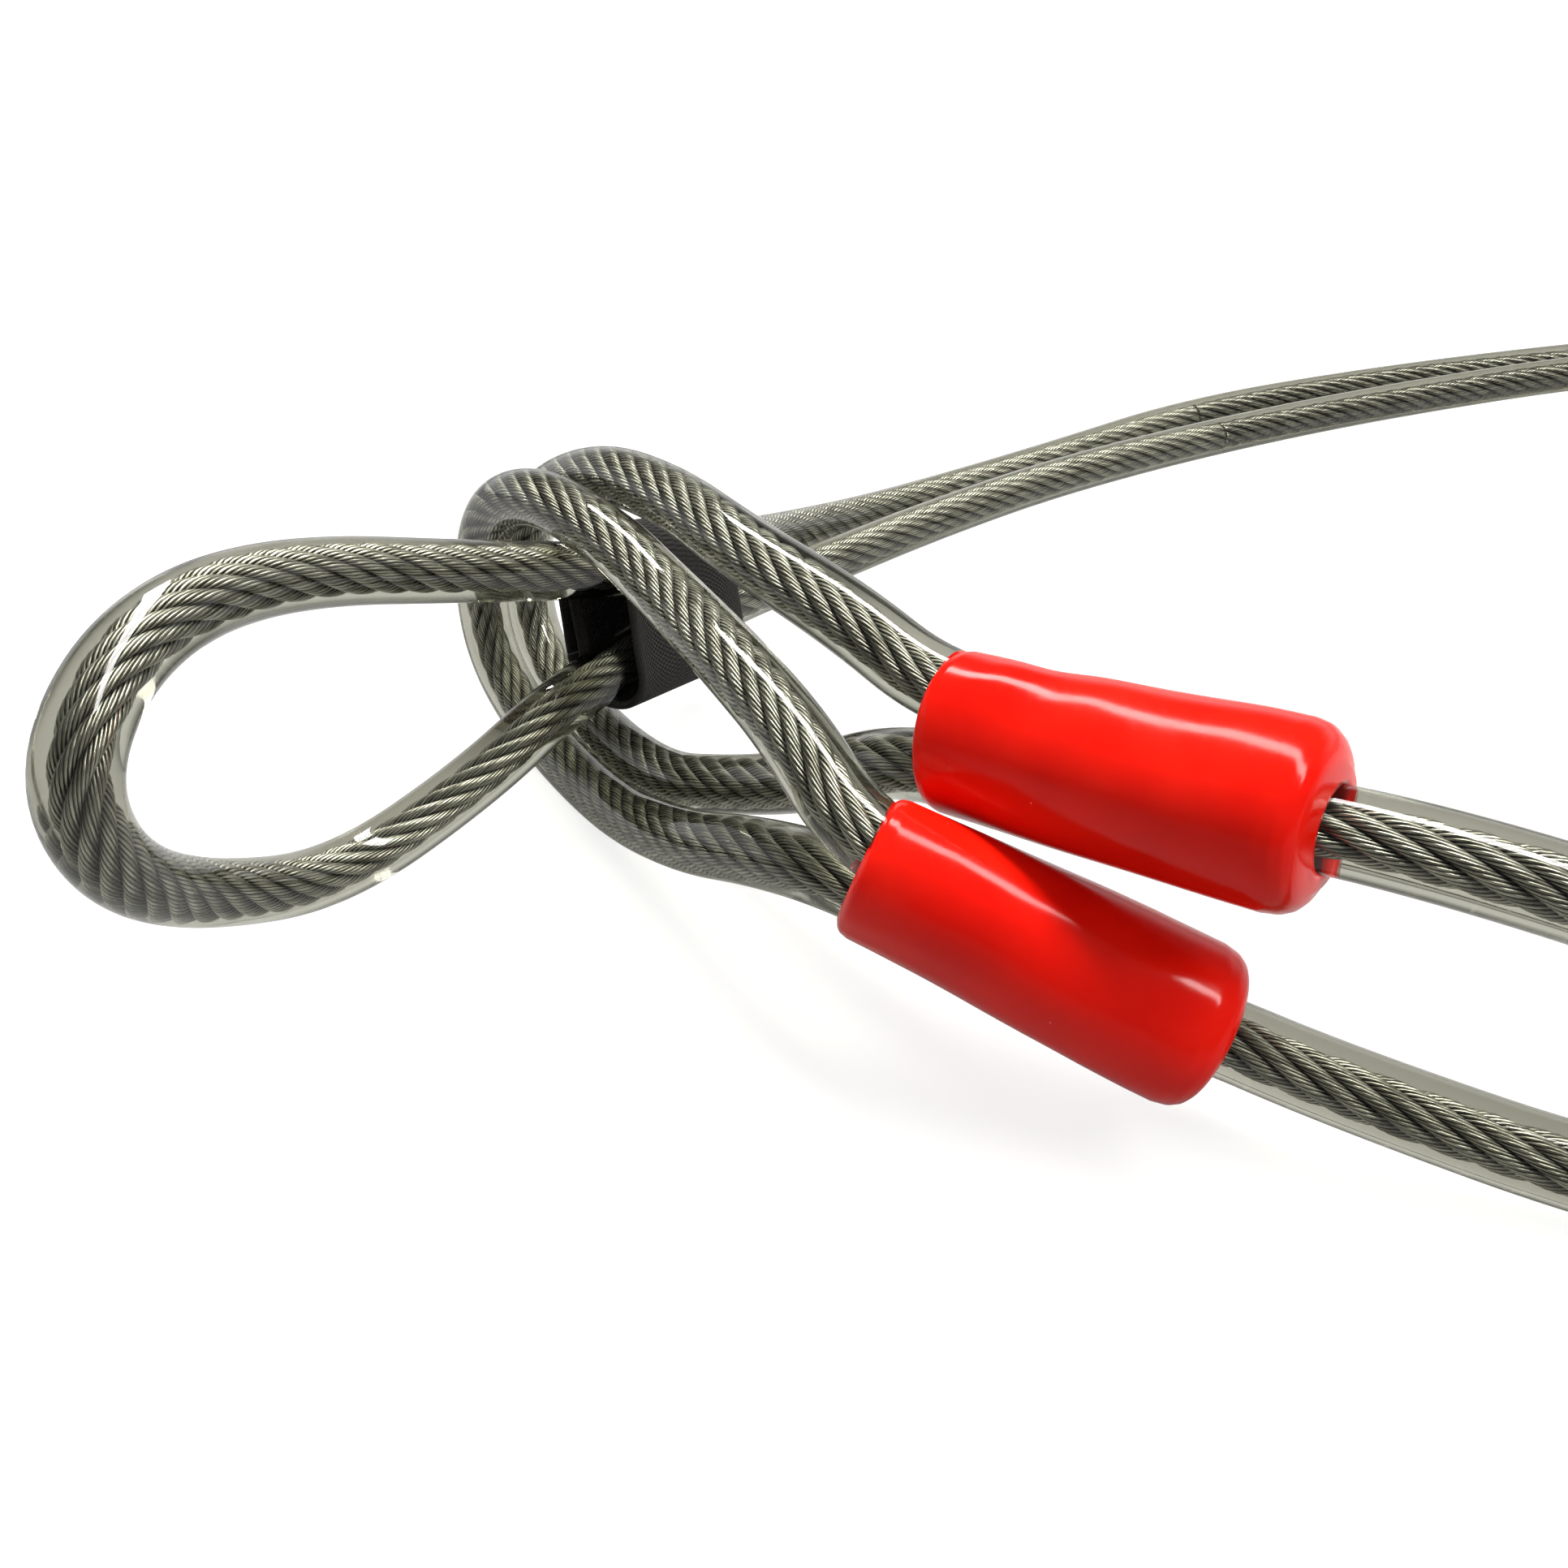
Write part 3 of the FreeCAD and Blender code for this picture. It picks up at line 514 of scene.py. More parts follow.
def cover_grid(side):
    """Rings from the mouth over the outside to the tail, and back along the inside."""
    turn = np.linspace(0, 2 * np.pi, COVER_SIDES, endpoint=False)
    out_share = (1 - np.cos(np.linspace(0, np.pi, COVER_STEPS))) / 2
    share = out_share[:, None]
    x, y = cover_outline(share, turn[None], 0)
    fade = np.clip(np.minimum(share, 1 - share) / DENT_FADE, 0, 1)
    smaller = 1 - fade * dent_depth(side, share, turn[None]) / np.hypot(x, y)
    length = COVER_LENGTH + TAIL_REACH[side]
    outside = np.stack([x * smaller, y * smaller, np.broadcast_to(share * length, x.shape)], axis=-1)
    outside[out_share > CLOSING_SHARE, :, :2] += cable_in_tail(side, length)
    hole = (CABLE / 2 + COVER_FIT) * np.stack([np.cos(turn), np.sin(turn)], axis=-1)
    flat_rings = [(hole + cable_in_tail(side, depth), depth) for depth in (length, length - TAIL_WALL)]
    for inner_share in (0.95, 0.8, 0.6, 0.4, 0.2, 0.08):
        inner = np.stack(cover_outline(inner_share, turn, COVER_WALL), axis=-1)
        flat_rings.append((inner, inner_share * COVER_LENGTH))
    flat_rings += [(mouth_outline(turn), LIP_END), (mouth_outline(turn), LIP_START)]
    inside = [np.c_[ring, np.full(COVER_SIDES, depth)] for ring, depth in flat_rings]
    return np.concatenate([outside, inside], axis=0)

# %% Covers
covers = []
for side, (mouth, tail, way) in COVER_SEATS.items():
    grid = cover_grid(side) @ frame_along(mouth, tail, way).T + np.array(mouth)
    cover = grid_piece("cover_" + side + "_skin", grid, close_rings=True,
                       uv_size=(math.pi * COVER_OUTER, 2 * COVER_LENGTH))
    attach(cover, "cable")
    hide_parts("cover_" + side)
    covers.append(cover)
print([(c.name, len(c.data.polygons)) for c in covers])

# %% [markdown]
# ## The webbing strap
# The strap is one strip of nylon webbing wrapped once round the two strands of the neck. Its inner end starts on
# the hidden side, it goes over the top strand, down the side that the camera sees, under the lower strand, and
# comes up again over its own start. A strip is a path for its middle with a rounded flat section carried along.
# The near and far edges have their own paths, because the strands draw together.

# %% Strip helper
# the neck's near and far point in the strap, and the way from the lower strand to the top one
STRAP_SEAT = ((-0.2218, -0.0149, 0.0309), (-0.2031, 0.0127, 0.0247), (0.03, 0.31, 0.95))
STRAP_THICK = 1.5 * MM
STRAP_FIT = 0.95 * MM
# how far the top and the lower turn lie from the seat, at each edge
STRAP_TURNS = {"near": (9.6 * MM, 9.4 * MM), "far": (6.6 * MM, 10.4 * MM)}
BAND_START = 1.0 * MM
PATCH_THICK = 0.6 * MM
PATCH_GAP = 0.15 * MM
PATCH_BORDER = 2.0 * MM
PATCH_HEIGHT = 9.0 * MM
TAB_LENGTH = 13.0 * MM
FOLD_GAP = 0.2 * MM
FIRST_LAYER = CABLE / 2 + STRAP_FIT
SECOND_LAYER = FIRST_LAYER + STRAP_THICK + 2 * PATCH_THICK + PATCH_GAP

strap_axes = frame_along(*STRAP_SEAT)
strap_long = math.dist(*STRAP_SEAT[:2])
STRIP_SIDES = 72
SELVEDGE = 0.04

def strip_grid(near, far, outward):
    """A strip with rounded edges: a share w, half of 1 plus the root of cos t, goes across it and back.

    Its thickness is a quarter circle over the selvedge's share of the width, and then full.
    """
    t = np.linspace(0, 2 * np.pi, STRIP_SIDES, endpoint=False)
    w = 0.5 + 0.5 * np.sign(np.cos(t)) * np.abs(np.cos(t)) ** 0.5
    edge = np.clip(np.minimum(w, 1 - w) / SELVEDGE, 0, 1)
    thread = 1 + 0.10 * np.exp(-((edge - 1) / 0.5) ** 2)
    swell = np.clip(np.sign(np.sin(t)) * np.sqrt(1 - (1 - edge) ** 2) * thread, -1, 1)
    middle = near[:, None] * (1 - w)[None, :, None] + far[:, None] * w[None, :, None]
    return middle + outward[:, None] * (swell * STRAP_THICK / 2)[None, :, None]

def stretch_points(start, end):
    """Points from start almost to end, in the strap's own plane."""
    share = np.linspace(0, 1, 24)[:-1, None]
    return np.array([start]) * (1 - share) + np.array([end]) * share

def arc_points(centre, radius, begin, end, steps):
    """Points of an arc in the strap's own plane: centre plus radius times (cos a, sin a)."""
    a = np.radians(np.linspace(begin, end, steps))
    return np.stack([centre + radius * np.cos(a), radius * np.sin(a)], axis=1)

def band_path(top, low):
    """The strip's middle, seen along the neck: one turn round both strands, and the turn into the fold."""
    inner = FIRST_LAYER + STRAP_THICK / 2
    outer = SECOND_LAYER + STRAP_THICK / 2
    turn = -low - inner + outer
    return np.vstack([
        stretch_points((-low + BAND_START, -inner), (top, -inner)),
        arc_points(top, inner, -90, 90, 28)[:-1],
        stretch_points((top, inner), (-low, inner)),
        arc_points(-low, inner, 90, 180, 16)[:-1],
        arc_points(turn, outer, 180, 270, 18),
    ])

def on_strap(points, along):
    """Points of a flat outline set at a height along the neck, in the frame of the whole object."""
    return np.c_[points, np.full(len(points), along)] @ strap_axes.T + np.array(STRAP_SEAT[0])

# %% Strap band
RIPPLE = 0.12 * MM
RIPPLES = 5
near_edge = on_strap(band_path(*STRAP_TURNS["near"]), 0.0)
far_edge = on_strap(band_path(*STRAP_TURNS["far"]), strap_long)
heading = unit(np.gradient((near_edge + far_edge) / 2, axis=0))
outward = unit(np.cross(far_edge - near_edge, heading))
# the strip ripples a little, one edge out where the other is in
run = np.linspace(0, 1, len(near_edge))[:, None]
ripple = RIPPLE * np.sin(2 * np.pi * RIPPLES * run) * outward
band_length = float(travelled_along(near_edge)[-1])
band = grid_piece("strap_band_webbing", strip_grid(near_edge + ripple, far_edge - ripple, outward),
                  uv_size=(2 * strap_long, band_length))
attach(band, "cable")
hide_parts("strap_band")
print("band", round(band_length / MM), "mm round,", len(band.data.polygons), "faces")

# %% [markdown]
# The tab peels open about the fold. Its inner face carries a patch of moulded hooks, which grip a patch of
# brushed loops on the hidden side of the strap. Both patches are height maps on a thin slab: rows of little
# hooks on one, and a soft uneven pile on the other. The hooks' patch is sewn on, so a line of stitches shows on
# the outer face of the tab.

# %% Tab and its patches
fold_ends = []
for name, along in (("near", 0.0), ("far", strap_long)):
    turn = -STRAP_TURNS[name][1] - FIRST_LAYER + SECOND_LAYER
    fold_ends.append(on_strap([(turn, -SECOND_LAYER - STRAP_THICK)], along)[0])
tab_axes = frame_along(*fold_ends, strap_axes[:, 0])
fold_long = math.dist(*fold_ends)
TAB_ROWS = 40

def on_tab(points):
    """From the tab's own frame, with X up the tab, Y towards the strands and Z along the fold."""
    return points @ tab_axes.T + fold_ends[0]

def tab_grid():
    """A flat strip that starts at the round folded edge and ends in a rounded tip."""
    up_tab = FOLD_GAP + (1 - np.cos(np.linspace(0, np.pi, TAB_ROWS))) / 2 * TAB_LENGTH
    ends = np.clip(np.minimum(up_tab - FOLD_GAP, FOLD_GAP + TAB_LENGTH - up_tab) / (STRAP_THICK / 2), 0.02, 1)
    thin = np.sqrt(1 - (1 - ends) ** 2)
    middle = np.stack([up_tab, np.full(TAB_ROWS, STRAP_THICK / 2), np.zeros(TAB_ROWS)], axis=1)
    grid = strip_grid(middle, middle + (0, 0, fold_long), np.tile((0.0, 1.0, 0.0), (TAB_ROWS, 1)))
    grid[..., 1] = STRAP_THICK / 2 + (grid[..., 1] - STRAP_THICK / 2) * thin[:, None]
    return grid

def patch_grid(near_x, near_y, direction, height_map):
    """A slab with a height map: a ring goes out along the mapped face and back along the flat one."""
    rows, columns = height_map.shape
    x = near_x + np.linspace(0, PATCH_HEIGHT, rows)
    z = np.linspace(PATCH_BORDER, fold_long - PATCH_BORDER, columns)
    face = np.stack([np.broadcast_to(x[:, None], height_map.shape),
                     near_y + direction * height_map,
                     np.broadcast_to(z[None, :], height_map.shape)], axis=-1)
    back = face[:, ::-1].copy()
    back[..., 1] = near_y
    ring = np.concatenate([face, back], axis=1)
    return ring[:, ::-1] if direction < 0 else ring

tab = grid_piece("strap_tab_webbing", on_tab(tab_grid()), uv_size=(2 * fold_long, TAB_LENGTH))
row, column = np.meshgrid(np.linspace(0, 1, 64), np.linspace(0, 1, 190), indexing="ij")
# ten rows of thirty hooks, and a pile of crossed waves
hook_height = 0.24 * MM + 0.34 * MM * np.clip(
    np.sin(2 * np.pi * 10 * row) * np.sin(2 * np.pi * 30 * column), 0, 1) ** 0.7
pile_height = (0.42 + 0.07 * np.sin(61 * row + 9 * np.sin(23 * column)) * np.sin(143 * column + 7 * row)
               + 0.07 * np.sin(37 * row - 101 * column) * np.sin(11 * row + 67 * column)) * MM
hook_patch = grid_piece("strap_hooks", on_tab(patch_grid(PATCH_BORDER, STRAP_THICK, 1, hook_height)))
LOOPS_START = 0.5 * MM
loop_near_y = STRAP_THICK + 2 * PATCH_THICK + PATCH_GAP
loop_patch = grid_piece("strap_loops", on_tab(patch_grid(LOOPS_START, loop_near_y, -1, pile_height)))
for piece, body, node, slot in (
    (tab, "strap_flap", "strap_tab", "black_webbing"),
    (hook_patch, "strap_flap", "strap_hook_patch", "hook_tape"),
    (loop_patch, "cable", "strap_loop_patch", "loop_tape"),
):
    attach(piece, body)
    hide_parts(node)
print([(p.name, len(p.data.polygons)) for p in (tab, hook_patch, loop_patch)])

# %% Stitches on the tab
STITCH_PITCH = 2.2 * MM
STITCH_RADIUS = 0.16 * MM
STITCH_LENGTH = 0.72 * STITCH_PITCH
SEAM_INSET = 0.9 * MM
END_ROW_OUT = 0.2 * MM

def stitch_grid(start, end):
    """A short thread: a circle carried from start to end, whose radius is the square root of a half wave."""
    share = np.linspace(0.02, 0.98, 7)[:, None]
    t = np.linspace(0, 2 * np.pi, 8, endpoint=False)
    heading = unit(np.subtract(end, start))
    side = np.cross(heading, (0.0, 1.0, 0.0))
    circle = side[None] * np.cos(t)[:, None] + np.array([[0.0, 1.0, 0.0]]) * np.sin(t)[:, None]
    middle = np.array(start) * (1 - share) + np.array(end) * share
    return middle[:, None] + STITCH_RADIUS * np.sqrt(np.sin(np.pi * share))[:, None] * circle[None]

seam = []
inset = PATCH_BORDER + SEAM_INSET
upper = PATCH_BORDER + PATCH_HEIGHT - SEAM_INSET
for x in (inset, upper):
    for z in np.arange(inset, fold_long - inset - STITCH_PITCH / 2, STITCH_PITCH):
        seam.append(((x, 0, z), (x, 0, z + STITCH_LENGTH)))
for z in (inset - END_ROW_OUT, fold_long - inset + END_ROW_OUT):
    for x in np.arange(inset, upper - STITCH_PITCH / 2, STITCH_PITCH):
        seam.append(((x, 0, z), (x + STITCH_LENGTH, 0, z)))
threads = [grid_piece("stitch_%d" % n, on_tab(stitch_grid(*ends))) for n, ends in enumerate(seam)]
stitches = joined("strap_tab_stitches", threads)
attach(stitches, "strap_flap")
print(len(seam), "stitches,", len(stitches.data.polygons), "faces")

# %% [markdown]
# ## Small helpers for shader nodes
# A material in Blender is a little network of nodes. A few helpers keep the networks below short.

# %% Node helpers

def put(tree, kind, **settings):
    """Adds a node of a kind and sets the attributes given by name."""
    node = tree.nodes.new("ShaderNode" + kind)
    for name, value in settings.items():
        setattr(node, name, value)
    return node

def feed(tree, socket, value):
    """Links an output to an input, or writes a plain number or colour on the input."""
    if isinstance(value, bpy.types.NodeSocket):
        tree.links.new(value, socket)
    else:
        socket.default_value = value

def fill(tree, node, *values):
    """Feeds a node's inputs in their order, and gives its first output."""
    for socket, value in zip(node.inputs, values):
        feed(tree, socket, value)
    return node.outputs[0]

def sums(tree, operation, first, second=0.0):
    """One Math node."""
    return fill(tree, put(tree, "Math", operation=operation), first, second)

def colours(tree, share, first, second):
    """One colour where share is 0 and the other where it is 1."""
    node = put(tree, "Mix", data_type="RGBA")
    feed(tree, node.inputs[0], share)
    feed(tree, node.inputs[6], first)
    feed(tree, node.inputs[7], second)
    return node.outputs[2]

def between(tree, value, low, high, to_low, to_high):
    """Maps a value from one range to another, and stops at the ends."""
    return fill(tree, put(tree, "MapRange"), value, low, high, to_low, to_high)

def own_place(tree):
    """The point's place in the piece's own frame, in metres."""
    return put(tree, "TexCoord").outputs["Object"]

def noise(tree, vector, scale, detail=2.0):
    """A cloudy pattern from 0 to 1, of so many features in a metre."""
    node = put(tree, "TexNoise")
    for name, value in (("Vector", vector), ("Scale", scale), ("Detail", detail)):
        feed(tree, node.inputs[name], value)
    return node.outputs["Fac"]

def bump(tree, height, distance, strength=1.0):
    """Tilts the surface's normal by a height given as 0 to 1 of a distance."""
    node = put(tree, "Bump")
    for name, value in (("Height", height), ("Distance", distance), ("Strength", strength)):
        feed(tree, node.inputs[name], value)
    return node.outputs["Normal"]

def new_material(name, **fixed):
    """A material with a Principled shader, whose sockets get the fixed values given by name."""
    material = bpy.data.materials.new(name)
    material.use_nodes = True
    shader = material.node_tree.nodes["Principled BSDF"]
    for socket, value in fixed.items():
        shader.inputs[socket.replace("_", " ")].default_value = value
    return material, material.node_tree, shader

def dress(material, pieces):
    """Gives every one of the pieces this one material."""
    for piece in pieces:
        piece.data.materials.clear()
        piece.data.materials.append(material)
    print(material.name, "on", len(pieces), "pieces")

# %% [markdown]
# ## Two effects that several finishes share
# Handling leaves the same marks on all soft plastics: specks of dust that cling, and faint scratches from use.
# Each effect is a node group, built once, with inputs for its size and strength.

# %% Dust and scratch groups

def new_group(name, **numbers):
    """A shader group with a vector input, a float input for each number, and a mask as its output."""
    group = bpy.data.node_groups.new(name, "ShaderNodeTree")
    group.interface.new_socket(name="Vector", in_out="INPUT", socket_type="NodeSocketVector")
    for title, value in numbers.items():
        title = title.replace("_", " ")
        socket = group.interface.new_socket(name=title, in_out="INPUT", socket_type="NodeSocketFloat")
        socket.default_value = value
    group.interface.new_socket(name="Mask", in_out="OUTPUT", socket_type="NodeSocketFloat")
    return group, group.nodes.new("NodeGroupInput"), group.nodes.new("NodeGroupOutput")

dust_group, entry, leave = new_group("clinging_dust", Specks_per_Metre=900.0, Share=0.3)
cells = put(dust_group, "TexVoronoi", feature="F1")
feed(dust_group, cells.inputs["Vector"], entry.outputs["Vector"])
feed(dust_group, cells.inputs["Scale"], entry.outputs["Specks per Metre"])
# a share of the cells has a speck, and a speck fills the middle of its cell
chosen = sums(dust_group, "LESS_THAN", cells.outputs["Color"], entry.outputs["Share"])
small = sums(dust_group, "LESS_THAN", cells.outputs["Distance"], 0.13)
feed(dust_group, leave.inputs["Mask"], sums(dust_group, "MULTIPLY", chosen, small))

scratch_group, entry, leave = new_group("fine_scratches", Scale=140.0, Share=0.06)
stretch = put(scratch_group, "Mapping")
feed(scratch_group, stretch.inputs["Vector"], entry.outputs["Vector"])
stretch.inputs["Scale"].default_value = (9.0, 1.0, 1.6)
stretch.inputs["Rotation"].default_value = (0.3, 0.5, 0.9)
lines = put(scratch_group, "TexNoise")
feed(scratch_group, lines.inputs["Vector"], stretch.outputs["Vector"])
feed(scratch_group, lines.inputs["Scale"], entry.outputs["Scale"])
# a scratch is where a long drawn-out noise passes through its middle value
from_middle = sums(scratch_group, "ABSOLUTE", sums(scratch_group, "SUBTRACT", lines.outputs["Fac"], 0.5))
thin = sums(scratch_group, "MULTIPLY", entry.outputs["Share"], 0.2)
feed(scratch_group, leave.inputs["Mask"], sums(scratch_group, "LESS_THAN", from_middle, thin))

def use_group(tree, group, **values):
    """Places a group in a material with its own values."""
    node = put(tree, "Group", node_tree=group)
    for name, value in values.items():
        feed(tree, node.inputs[name.replace("_", " ")], value)
    return node.outputs[0]

print("groups:", [g.name for g in bpy.data.node_groups])

# %% [markdown]
# ## Bright wire
# The rope is galvanised, so the wires are silvery. Their colour is darkened as painted shade in the grooves
# between the wires and between the strands, where the two numbers kept on the mesh say they lie. A streaky noise
# that is stretched along the wires makes some of them brighter than their neighbours.

# %% Steel material
steel, tree, shader = new_material("galvanised_wire", Metallic=1.0)
wire_dip = put(tree, "Attribute", attribute_name="wire_dip").outputs["Fac"]
strand_dip = put(tree, "Attribute", attribute_name="strand_dip").outputs["Fac"]
# painted shade: the colour goes dark deep between two wires and deep between two strands
painted_wire_shade = sums(tree, "MULTIPLY", sums(tree, "POWER", wire_dip, 0.7), 1.05)
painted_strand_shade = sums(tree, "MULTIPLY", sums(tree, "POWER", strand_dip, 1.4), 0.38)
shade = sums(tree, "MINIMUM", sums(tree, "ADD", painted_wire_shade, painted_strand_shade), 1.0)
along = put(tree, "UVMap", uv_map="along").outputs["UV"]
stretched = put(tree, "Mapping")
feed(tree, stretched.inputs["Vector"], along)
stretched.inputs["Scale"].default_value = (2600.0, 60.0, 1.0)
streaks = between(tree, noise(tree, stretched.outputs["Vector"], 1.0, 1.0), 0.38, 0.60, 0.0, 1.0)
silver = colours(tree, streaks, (0.42, 0.42, 0.385, 1), (1.0, 1.0, 0.94, 1))
feed(tree, shader.inputs["Base Color"], colours(tree, shade, silver, (0.012, 0.013, 0.012, 1)))
feed(tree, shader.inputs["Roughness"], between(tree, shade, 0.0, 1.0, 0.22, 0.6))
dress(steel, [rope for group in ropes.values() for rope in group])

# %% [markdown]
# ## Clear vinyl
# Clear vinyl bends light like glass, and has a faint smoky olive tint from its stabiliser. Its surface is glossy
# but not flat: it has slow ripples from the extruder's die and fine scuffs. Lamps shine straight through it on
# to the rope, as through a tinted pane, because bent light takes thousands of samples to find.

# %% Clear vinyl material
clear, tree, shader = new_material("clear_vinyl", Transmission_Weight=1.0, IOR=1.45)
shader.inputs["Base Color"].default_value = (0.50, 0.50, 0.42, 1)
place = own_place(tree)
scuffs = use_group(tree, scratch_group, Vector=place, Scale=180.0, Share=0.05)
feed(tree, shader.inputs["Roughness"], between(tree, scuffs, 0.0, 1.0, 0.03, 0.12))
feed(tree, shader.inputs["Normal"], bump(tree, noise(tree, place, 95.0, 1.0), 0.10 * MM, 0.6))
see_through = put(tree, "BsdfTransparent")
see_through.inputs["Color"].default_value = (0.86, 0.86, 0.80, 1)
in_shadow = put(tree, "LightPath").outputs["Is Shadow Ray"]
skin = fill(tree, put(tree, "MixShader"), in_shadow, shader.outputs["BSDF"], see_through.outputs["BSDF"])
feed(tree, tree.nodes["Material Output"].inputs["Surface"], skin)
dress(clear, jackets.values())

# %% [markdown]
# ## Red vinyl
# Dipped vinyl has a deep colour and a wet shine. Up close its colour is a little uneven, the surface has a very
# fine orange peel, and dust sticks to it.

# %% Red vinyl material
red, tree, shader = new_material("red_vinyl", Roughness=0.12, Specular_IOR_Level=0.19)
place = own_place(tree)
uneven = between(tree, noise(tree, place, 70.0, 3.0), 0.35, 0.65, 0.0, 1.0)
paint = colours(tree, uneven, (0.70, 0.006, 0.002, 1), (0.80, 0.010, 0.003, 1))
specks = use_group(tree, dust_group, Vector=place, Specks_per_Metre=1000.0, Share=0.10)
dusty = sums(tree, "MULTIPLY", specks, 0.35)
feed(tree, shader.inputs["Base Color"], colours(tree, dusty, paint, (0.8, 0.45, 0.4, 1)))
scuffs = use_group(tree, scratch_group, Vector=place, Scale=120.0, Share=0.05)
feed(tree, shader.inputs["Roughness"], between(tree, sums(tree, "ADD", scuffs, uneven), 0.0, 2.0, 0.13, 0.24))
fine_peel = sums(tree, "MULTIPLY", noise(tree, place, 1500.0, 1.0), 0.12)
peel = sums(tree, "ADD", noise(tree, place, 160.0, 1.0), fine_peel)
feed(tree, shader.inputs["Normal"], bump(tree, peel, 0.10 * MM, 0.5))
dress(red, covers)

# %% [markdown]
# ## Webbing, hooks and loops
# Nylon webbing is a weave of flat yarns: across and along the strip, each passes over one and under the next.
# The product of two waves gives that chequer of little hills, and a fine noise gives the fuzz of the yarns.

# %% Webbing material
ACROSS_PITCH = 1.1 * MM
ALONG_PITCH = 0.9 * MM
webbing, tree, shader = new_material("black_webbing", Roughness=0.8, Specular_IOR_Level=0.2,
                                     Sheen_Weight=0.06, Sheen_Roughness=0.5)
parts = put(tree, "SeparateXYZ")
feed(tree, parts.inputs[0], put(tree, "UVMap", uv_map="along").outputs["UV"])
across_yarns = sums(tree, "SINE", sums(tree, "MULTIPLY", parts.outputs["X"], 2 * math.pi / ACROSS_PITCH))
along_yarns = sums(tree, "SINE", sums(tree, "MULTIPLY", parts.outputs["Y"], 2 * math.pi / ALONG_PITCH))
hills = sums(tree, "MULTIPLY", across_yarns, along_yarns)
place = own_place(tree)
fuzz = noise(tree, place, 2600.0, 3.0)
lint = use_group(tree, dust_group, Vector=place, Specks_per_Metre=1300.0, Share=0.12)
weave = sums(tree, "ADD", hills, fuzz)
yarn = colours(tree, between(tree, weave, -1.0, 2.0, 0.0, 1.0), (0.002, 0.002, 0.002, 1), (0.011, 0.010, 0.008, 1))
linty = sums(tree, "MULTIPLY", lint, 0.4)
feed(tree, shader.inputs["Base Color"], colours(tree, linty, yarn, (0.2, 0.19, 0.16, 1)))
feed(tree, shader.inputs["Normal"], bump(tree, weave, 0.16 * MM, 0.9))
dress(webbing, [band, tab, stitches])

# %% Hook, loop and ferrule materials

def speckled(name, scale, detail, dark, light, relief, **fixed):
    """A material whose colour goes from dark to light by one noise, which also raises it by the relief."""
    material, tree, shader = new_material(name, **fixed)
    grain = noise(tree, own_place(tree), scale, detail)
    feed(tree, shader.inputs["Base Color"], colours(tree, grain, dark, light))
    if relief:
        feed(tree, shader.inputs["Normal"], bump(tree, grain, relief))
    return material

hooks = speckled("hook_tape", 900.0, 2.0, (0.006, 0.006, 0.006, 1), (0.03, 0.03, 0.03, 1), 0, Roughness=0.4)
dress(hooks, [hook_patch])
loops = speckled("loop_tape", 2200.0, 4.0, (0.005, 0.005, 0.005, 1), (0.04, 0.04, 0.042, 1), 0.2 * MM,
                 Roughness=0.9, Sheen_Weight=0.6, Sheen_Roughness=0.4)
dress(loops, [loop_patch])
ferrule = speckled("pressed_aluminium", 1400.0, 3.0, (0.55, 0.56, 0.57, 1), (0.78, 0.79, 0.80, 1), 0.03 * MM,
                   Metallic=1.0, Roughness=0.35)
dress(ferrule, [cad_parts["ferrule_a"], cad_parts["ferrule_b"]])

# %% [markdown]
# ## Floor, backdrop and lamp
# The object stands in plain white. The floor is grey and takes the shadow; towards the camera its grey is darker,
# as painted shade for metal and clear vinyl to show. Where the camera looks at it, it is lifted to white, more so
# further out, so that it has no horizon; metal and clear vinyl show a part of that lift.
# The studio round it is dark apart from the pale backdrop, and a long narrow softbox hangs above: that gives the
# thin highlight along each tube and each cover, and the dark sides.

# %% Floor
FLOOR_HALF = 6.0
floor_mesh = bpy.data.meshes.new("floor")
floor_corners = [(x * FLOOR_HALF, y * FLOOR_HALF, 0) for x, y in ((-1, -1), (1, -1), (1, 1), (-1, 1))]
floor_mesh.from_pydata(floor_corners, [], [(0, 1, 2, 3)])
floor = bpy.data.objects.new("floor", floor_mesh)
bpy.context.scene.collection.objects.link(floor)

def seen_share(tree, in_mirrors):
    """1 for the camera's own rays, and in_mirrors for the rays that metal and clear vinyl show."""
    path = put(tree, "LightPath")
    mirrored = sums(tree, "MAXIMUM", path.outputs["Is Glossy Ray"], path.outputs["Is Transmission Ray"])
    return sums(tree, "MAXIMUM", path.outputs["Is Camera Ray"], sums(tree, "MULTIPLY", mirrored, in_mirrors))

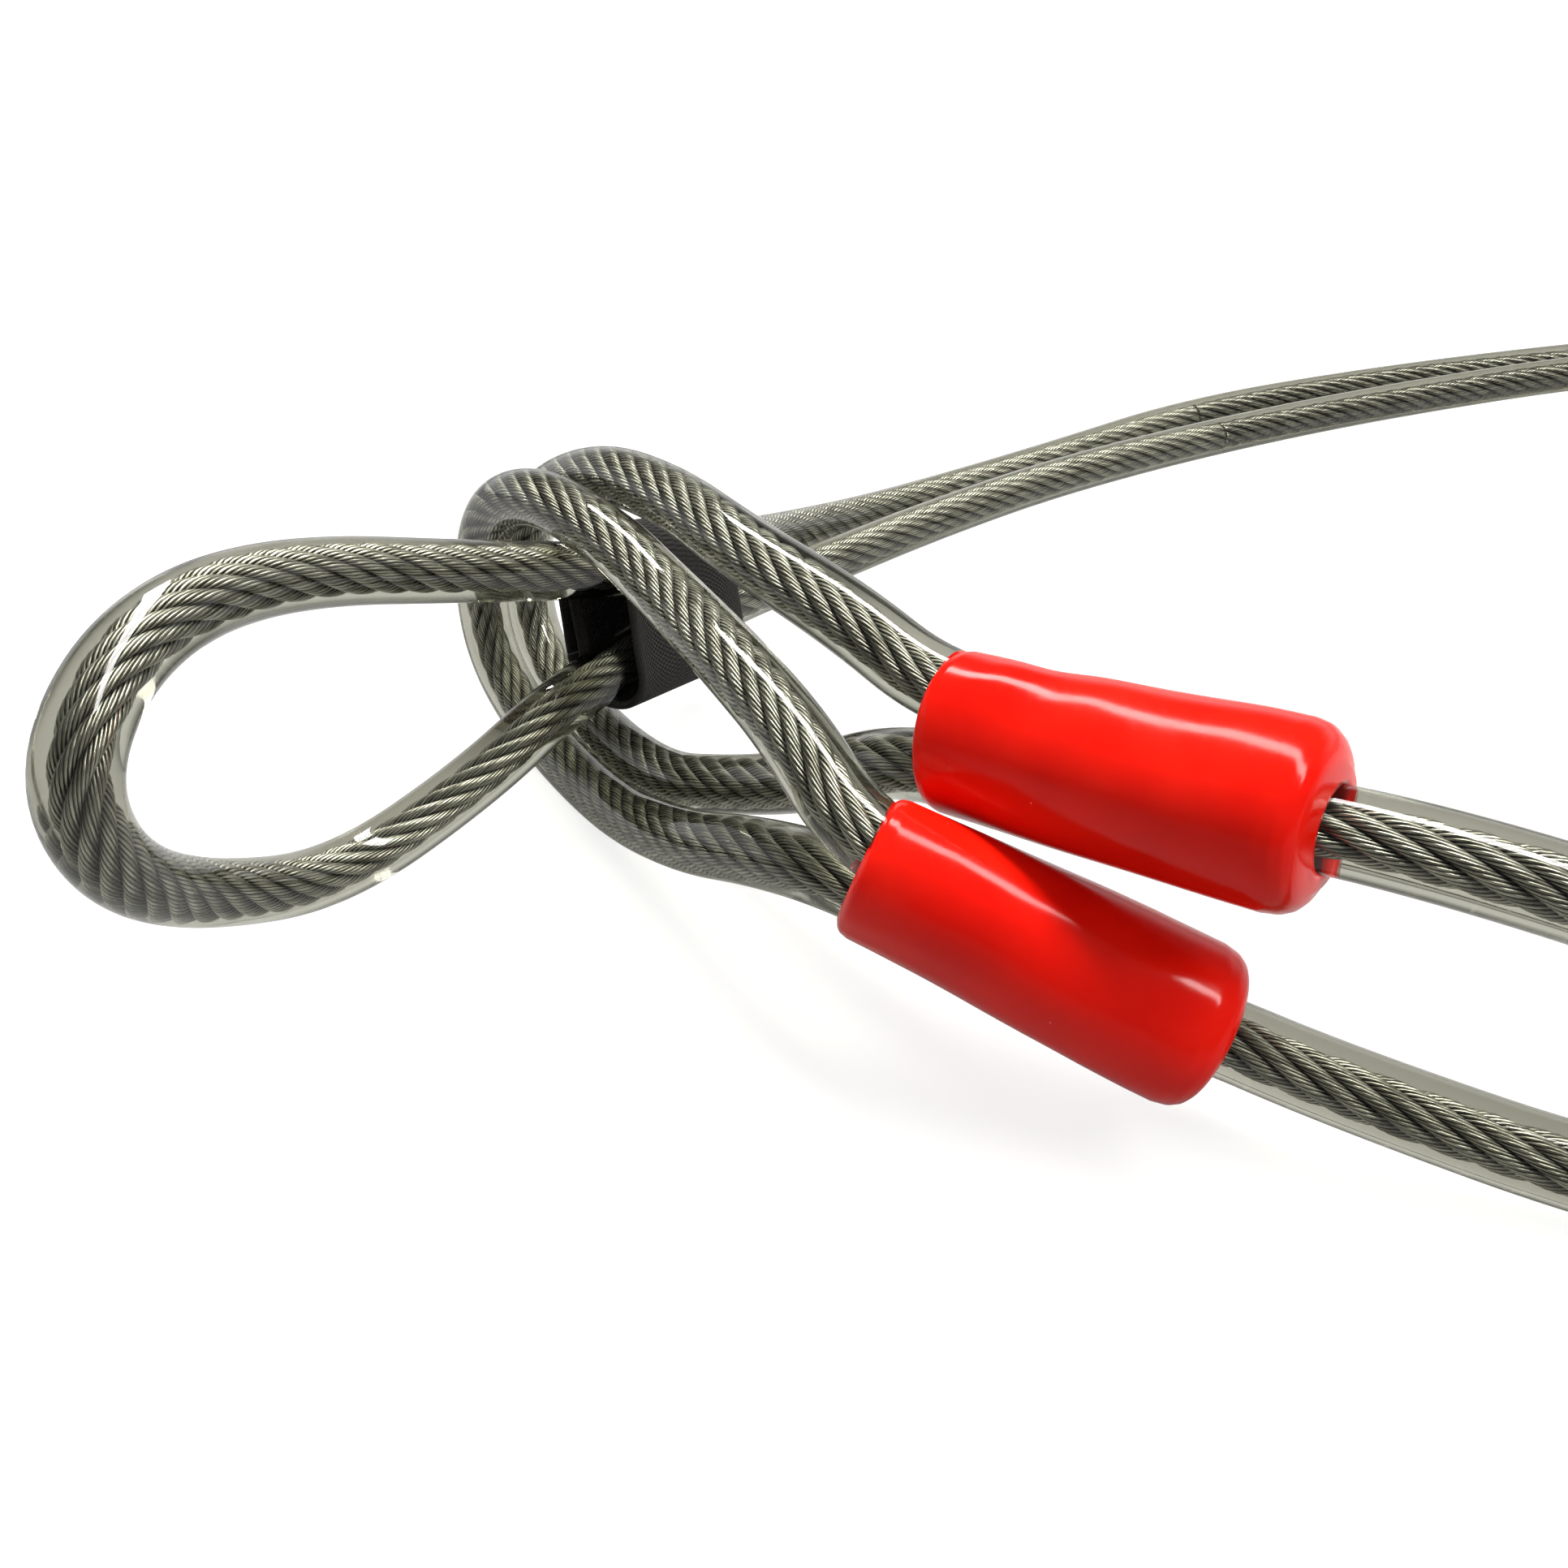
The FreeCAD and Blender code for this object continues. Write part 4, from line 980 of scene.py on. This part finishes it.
pale, tree, shader = new_material("pale_floor", Roughness=0.95, Specular_IOR_Level=0.0)
spot = own_place(tree)
parts = put(tree, "SeparateXYZ")
feed(tree, parts.inputs[0], spot)
# painted shade: the floor's grey is darker towards the camera
painted_front_shade = between(tree, parts.outputs["Y"], -0.20, -0.06, 0.0, 1.0)
feed(tree, shader.inputs["Base Color"], colours(tree, painted_front_shade, (0.17, 0.17, 0.16, 1), (0.32, 0.32, 0.32, 1)))
far_away = put(tree, "VectorMath", operation="LENGTH")
feed(tree, far_away.inputs[0], spot)
lift = between(tree, far_away.outputs["Value"], 0.3, 1.0, 0.78, 1.0)
glow = put(tree, "Emission")
feed(tree, glow.inputs["Strength"], sums(tree, "MULTIPLY", lift, seen_share(tree, 0.20)))
lifted = fill(tree, put(tree, "AddShader"), shader.outputs["BSDF"], glow.outputs["Emission"])
feed(tree, tree.nodes["Material Output"].inputs["Surface"], lifted)
dress(pale, [floor])

# %% World
world = bpy.data.worlds.new("studio")
bpy.context.scene.world = world
world.use_nodes = True
tree = world.node_tree
direction = put(tree, "SeparateXYZ")
feed(tree, direction.inputs[0], put(tree, "TexCoord").outputs["Generated"])
behind = between(tree, direction.outputs["Y"], -0.1, 0.4, 0.0, 1.0)
low_down = between(tree, direction.outputs["Z"], 0.12, 0.40, 1.0, 0.0)
studio = colours(tree, sums(tree, "MULTIPLY", behind, low_down), (0.10, 0.10, 0.095, 1), (1, 1, 1, 1))
seen = colours(tree, put(tree, "LightPath").outputs["Is Camera Ray"], studio, (1, 1, 1, 1))
background = tree.nodes["Background"]
feed(tree, background.inputs["Color"], colours(tree, seen_share(tree, 1.0), (0.55, 0.55, 0.55, 1), seen))
background.inputs["Strength"].default_value = 1.0
print("world:", world.name)

# %% Lamp
LAMP_PLACE = Vector((0.02, 0.02, 0.68))
LAMP_TARGET = Vector((-0.10, -0.08, 0.03))
lamp = bpy.data.lights.new("strip_softbox", "AREA")
lamp.shape = "RECTANGLE"
lamp.size, lamp.size_y = 1.45, 0.14
lamp.energy = 14.5
lamp.color = (1.0, 0.985, 0.95)
holder = bpy.data.objects.new("strip_softbox", lamp)
holder.location = LAMP_PLACE
holder.rotation_mode = "QUATERNION"
holder.rotation_quaternion = (LAMP_TARGET - LAMP_PLACE).to_track_quat("-Z", "Y")
bpy.context.scene.collection.objects.link(holder)
bpy.context.scene.view_settings.view_transform = "Standard"
print("lamp:", holder.name, lamp.energy, "W")
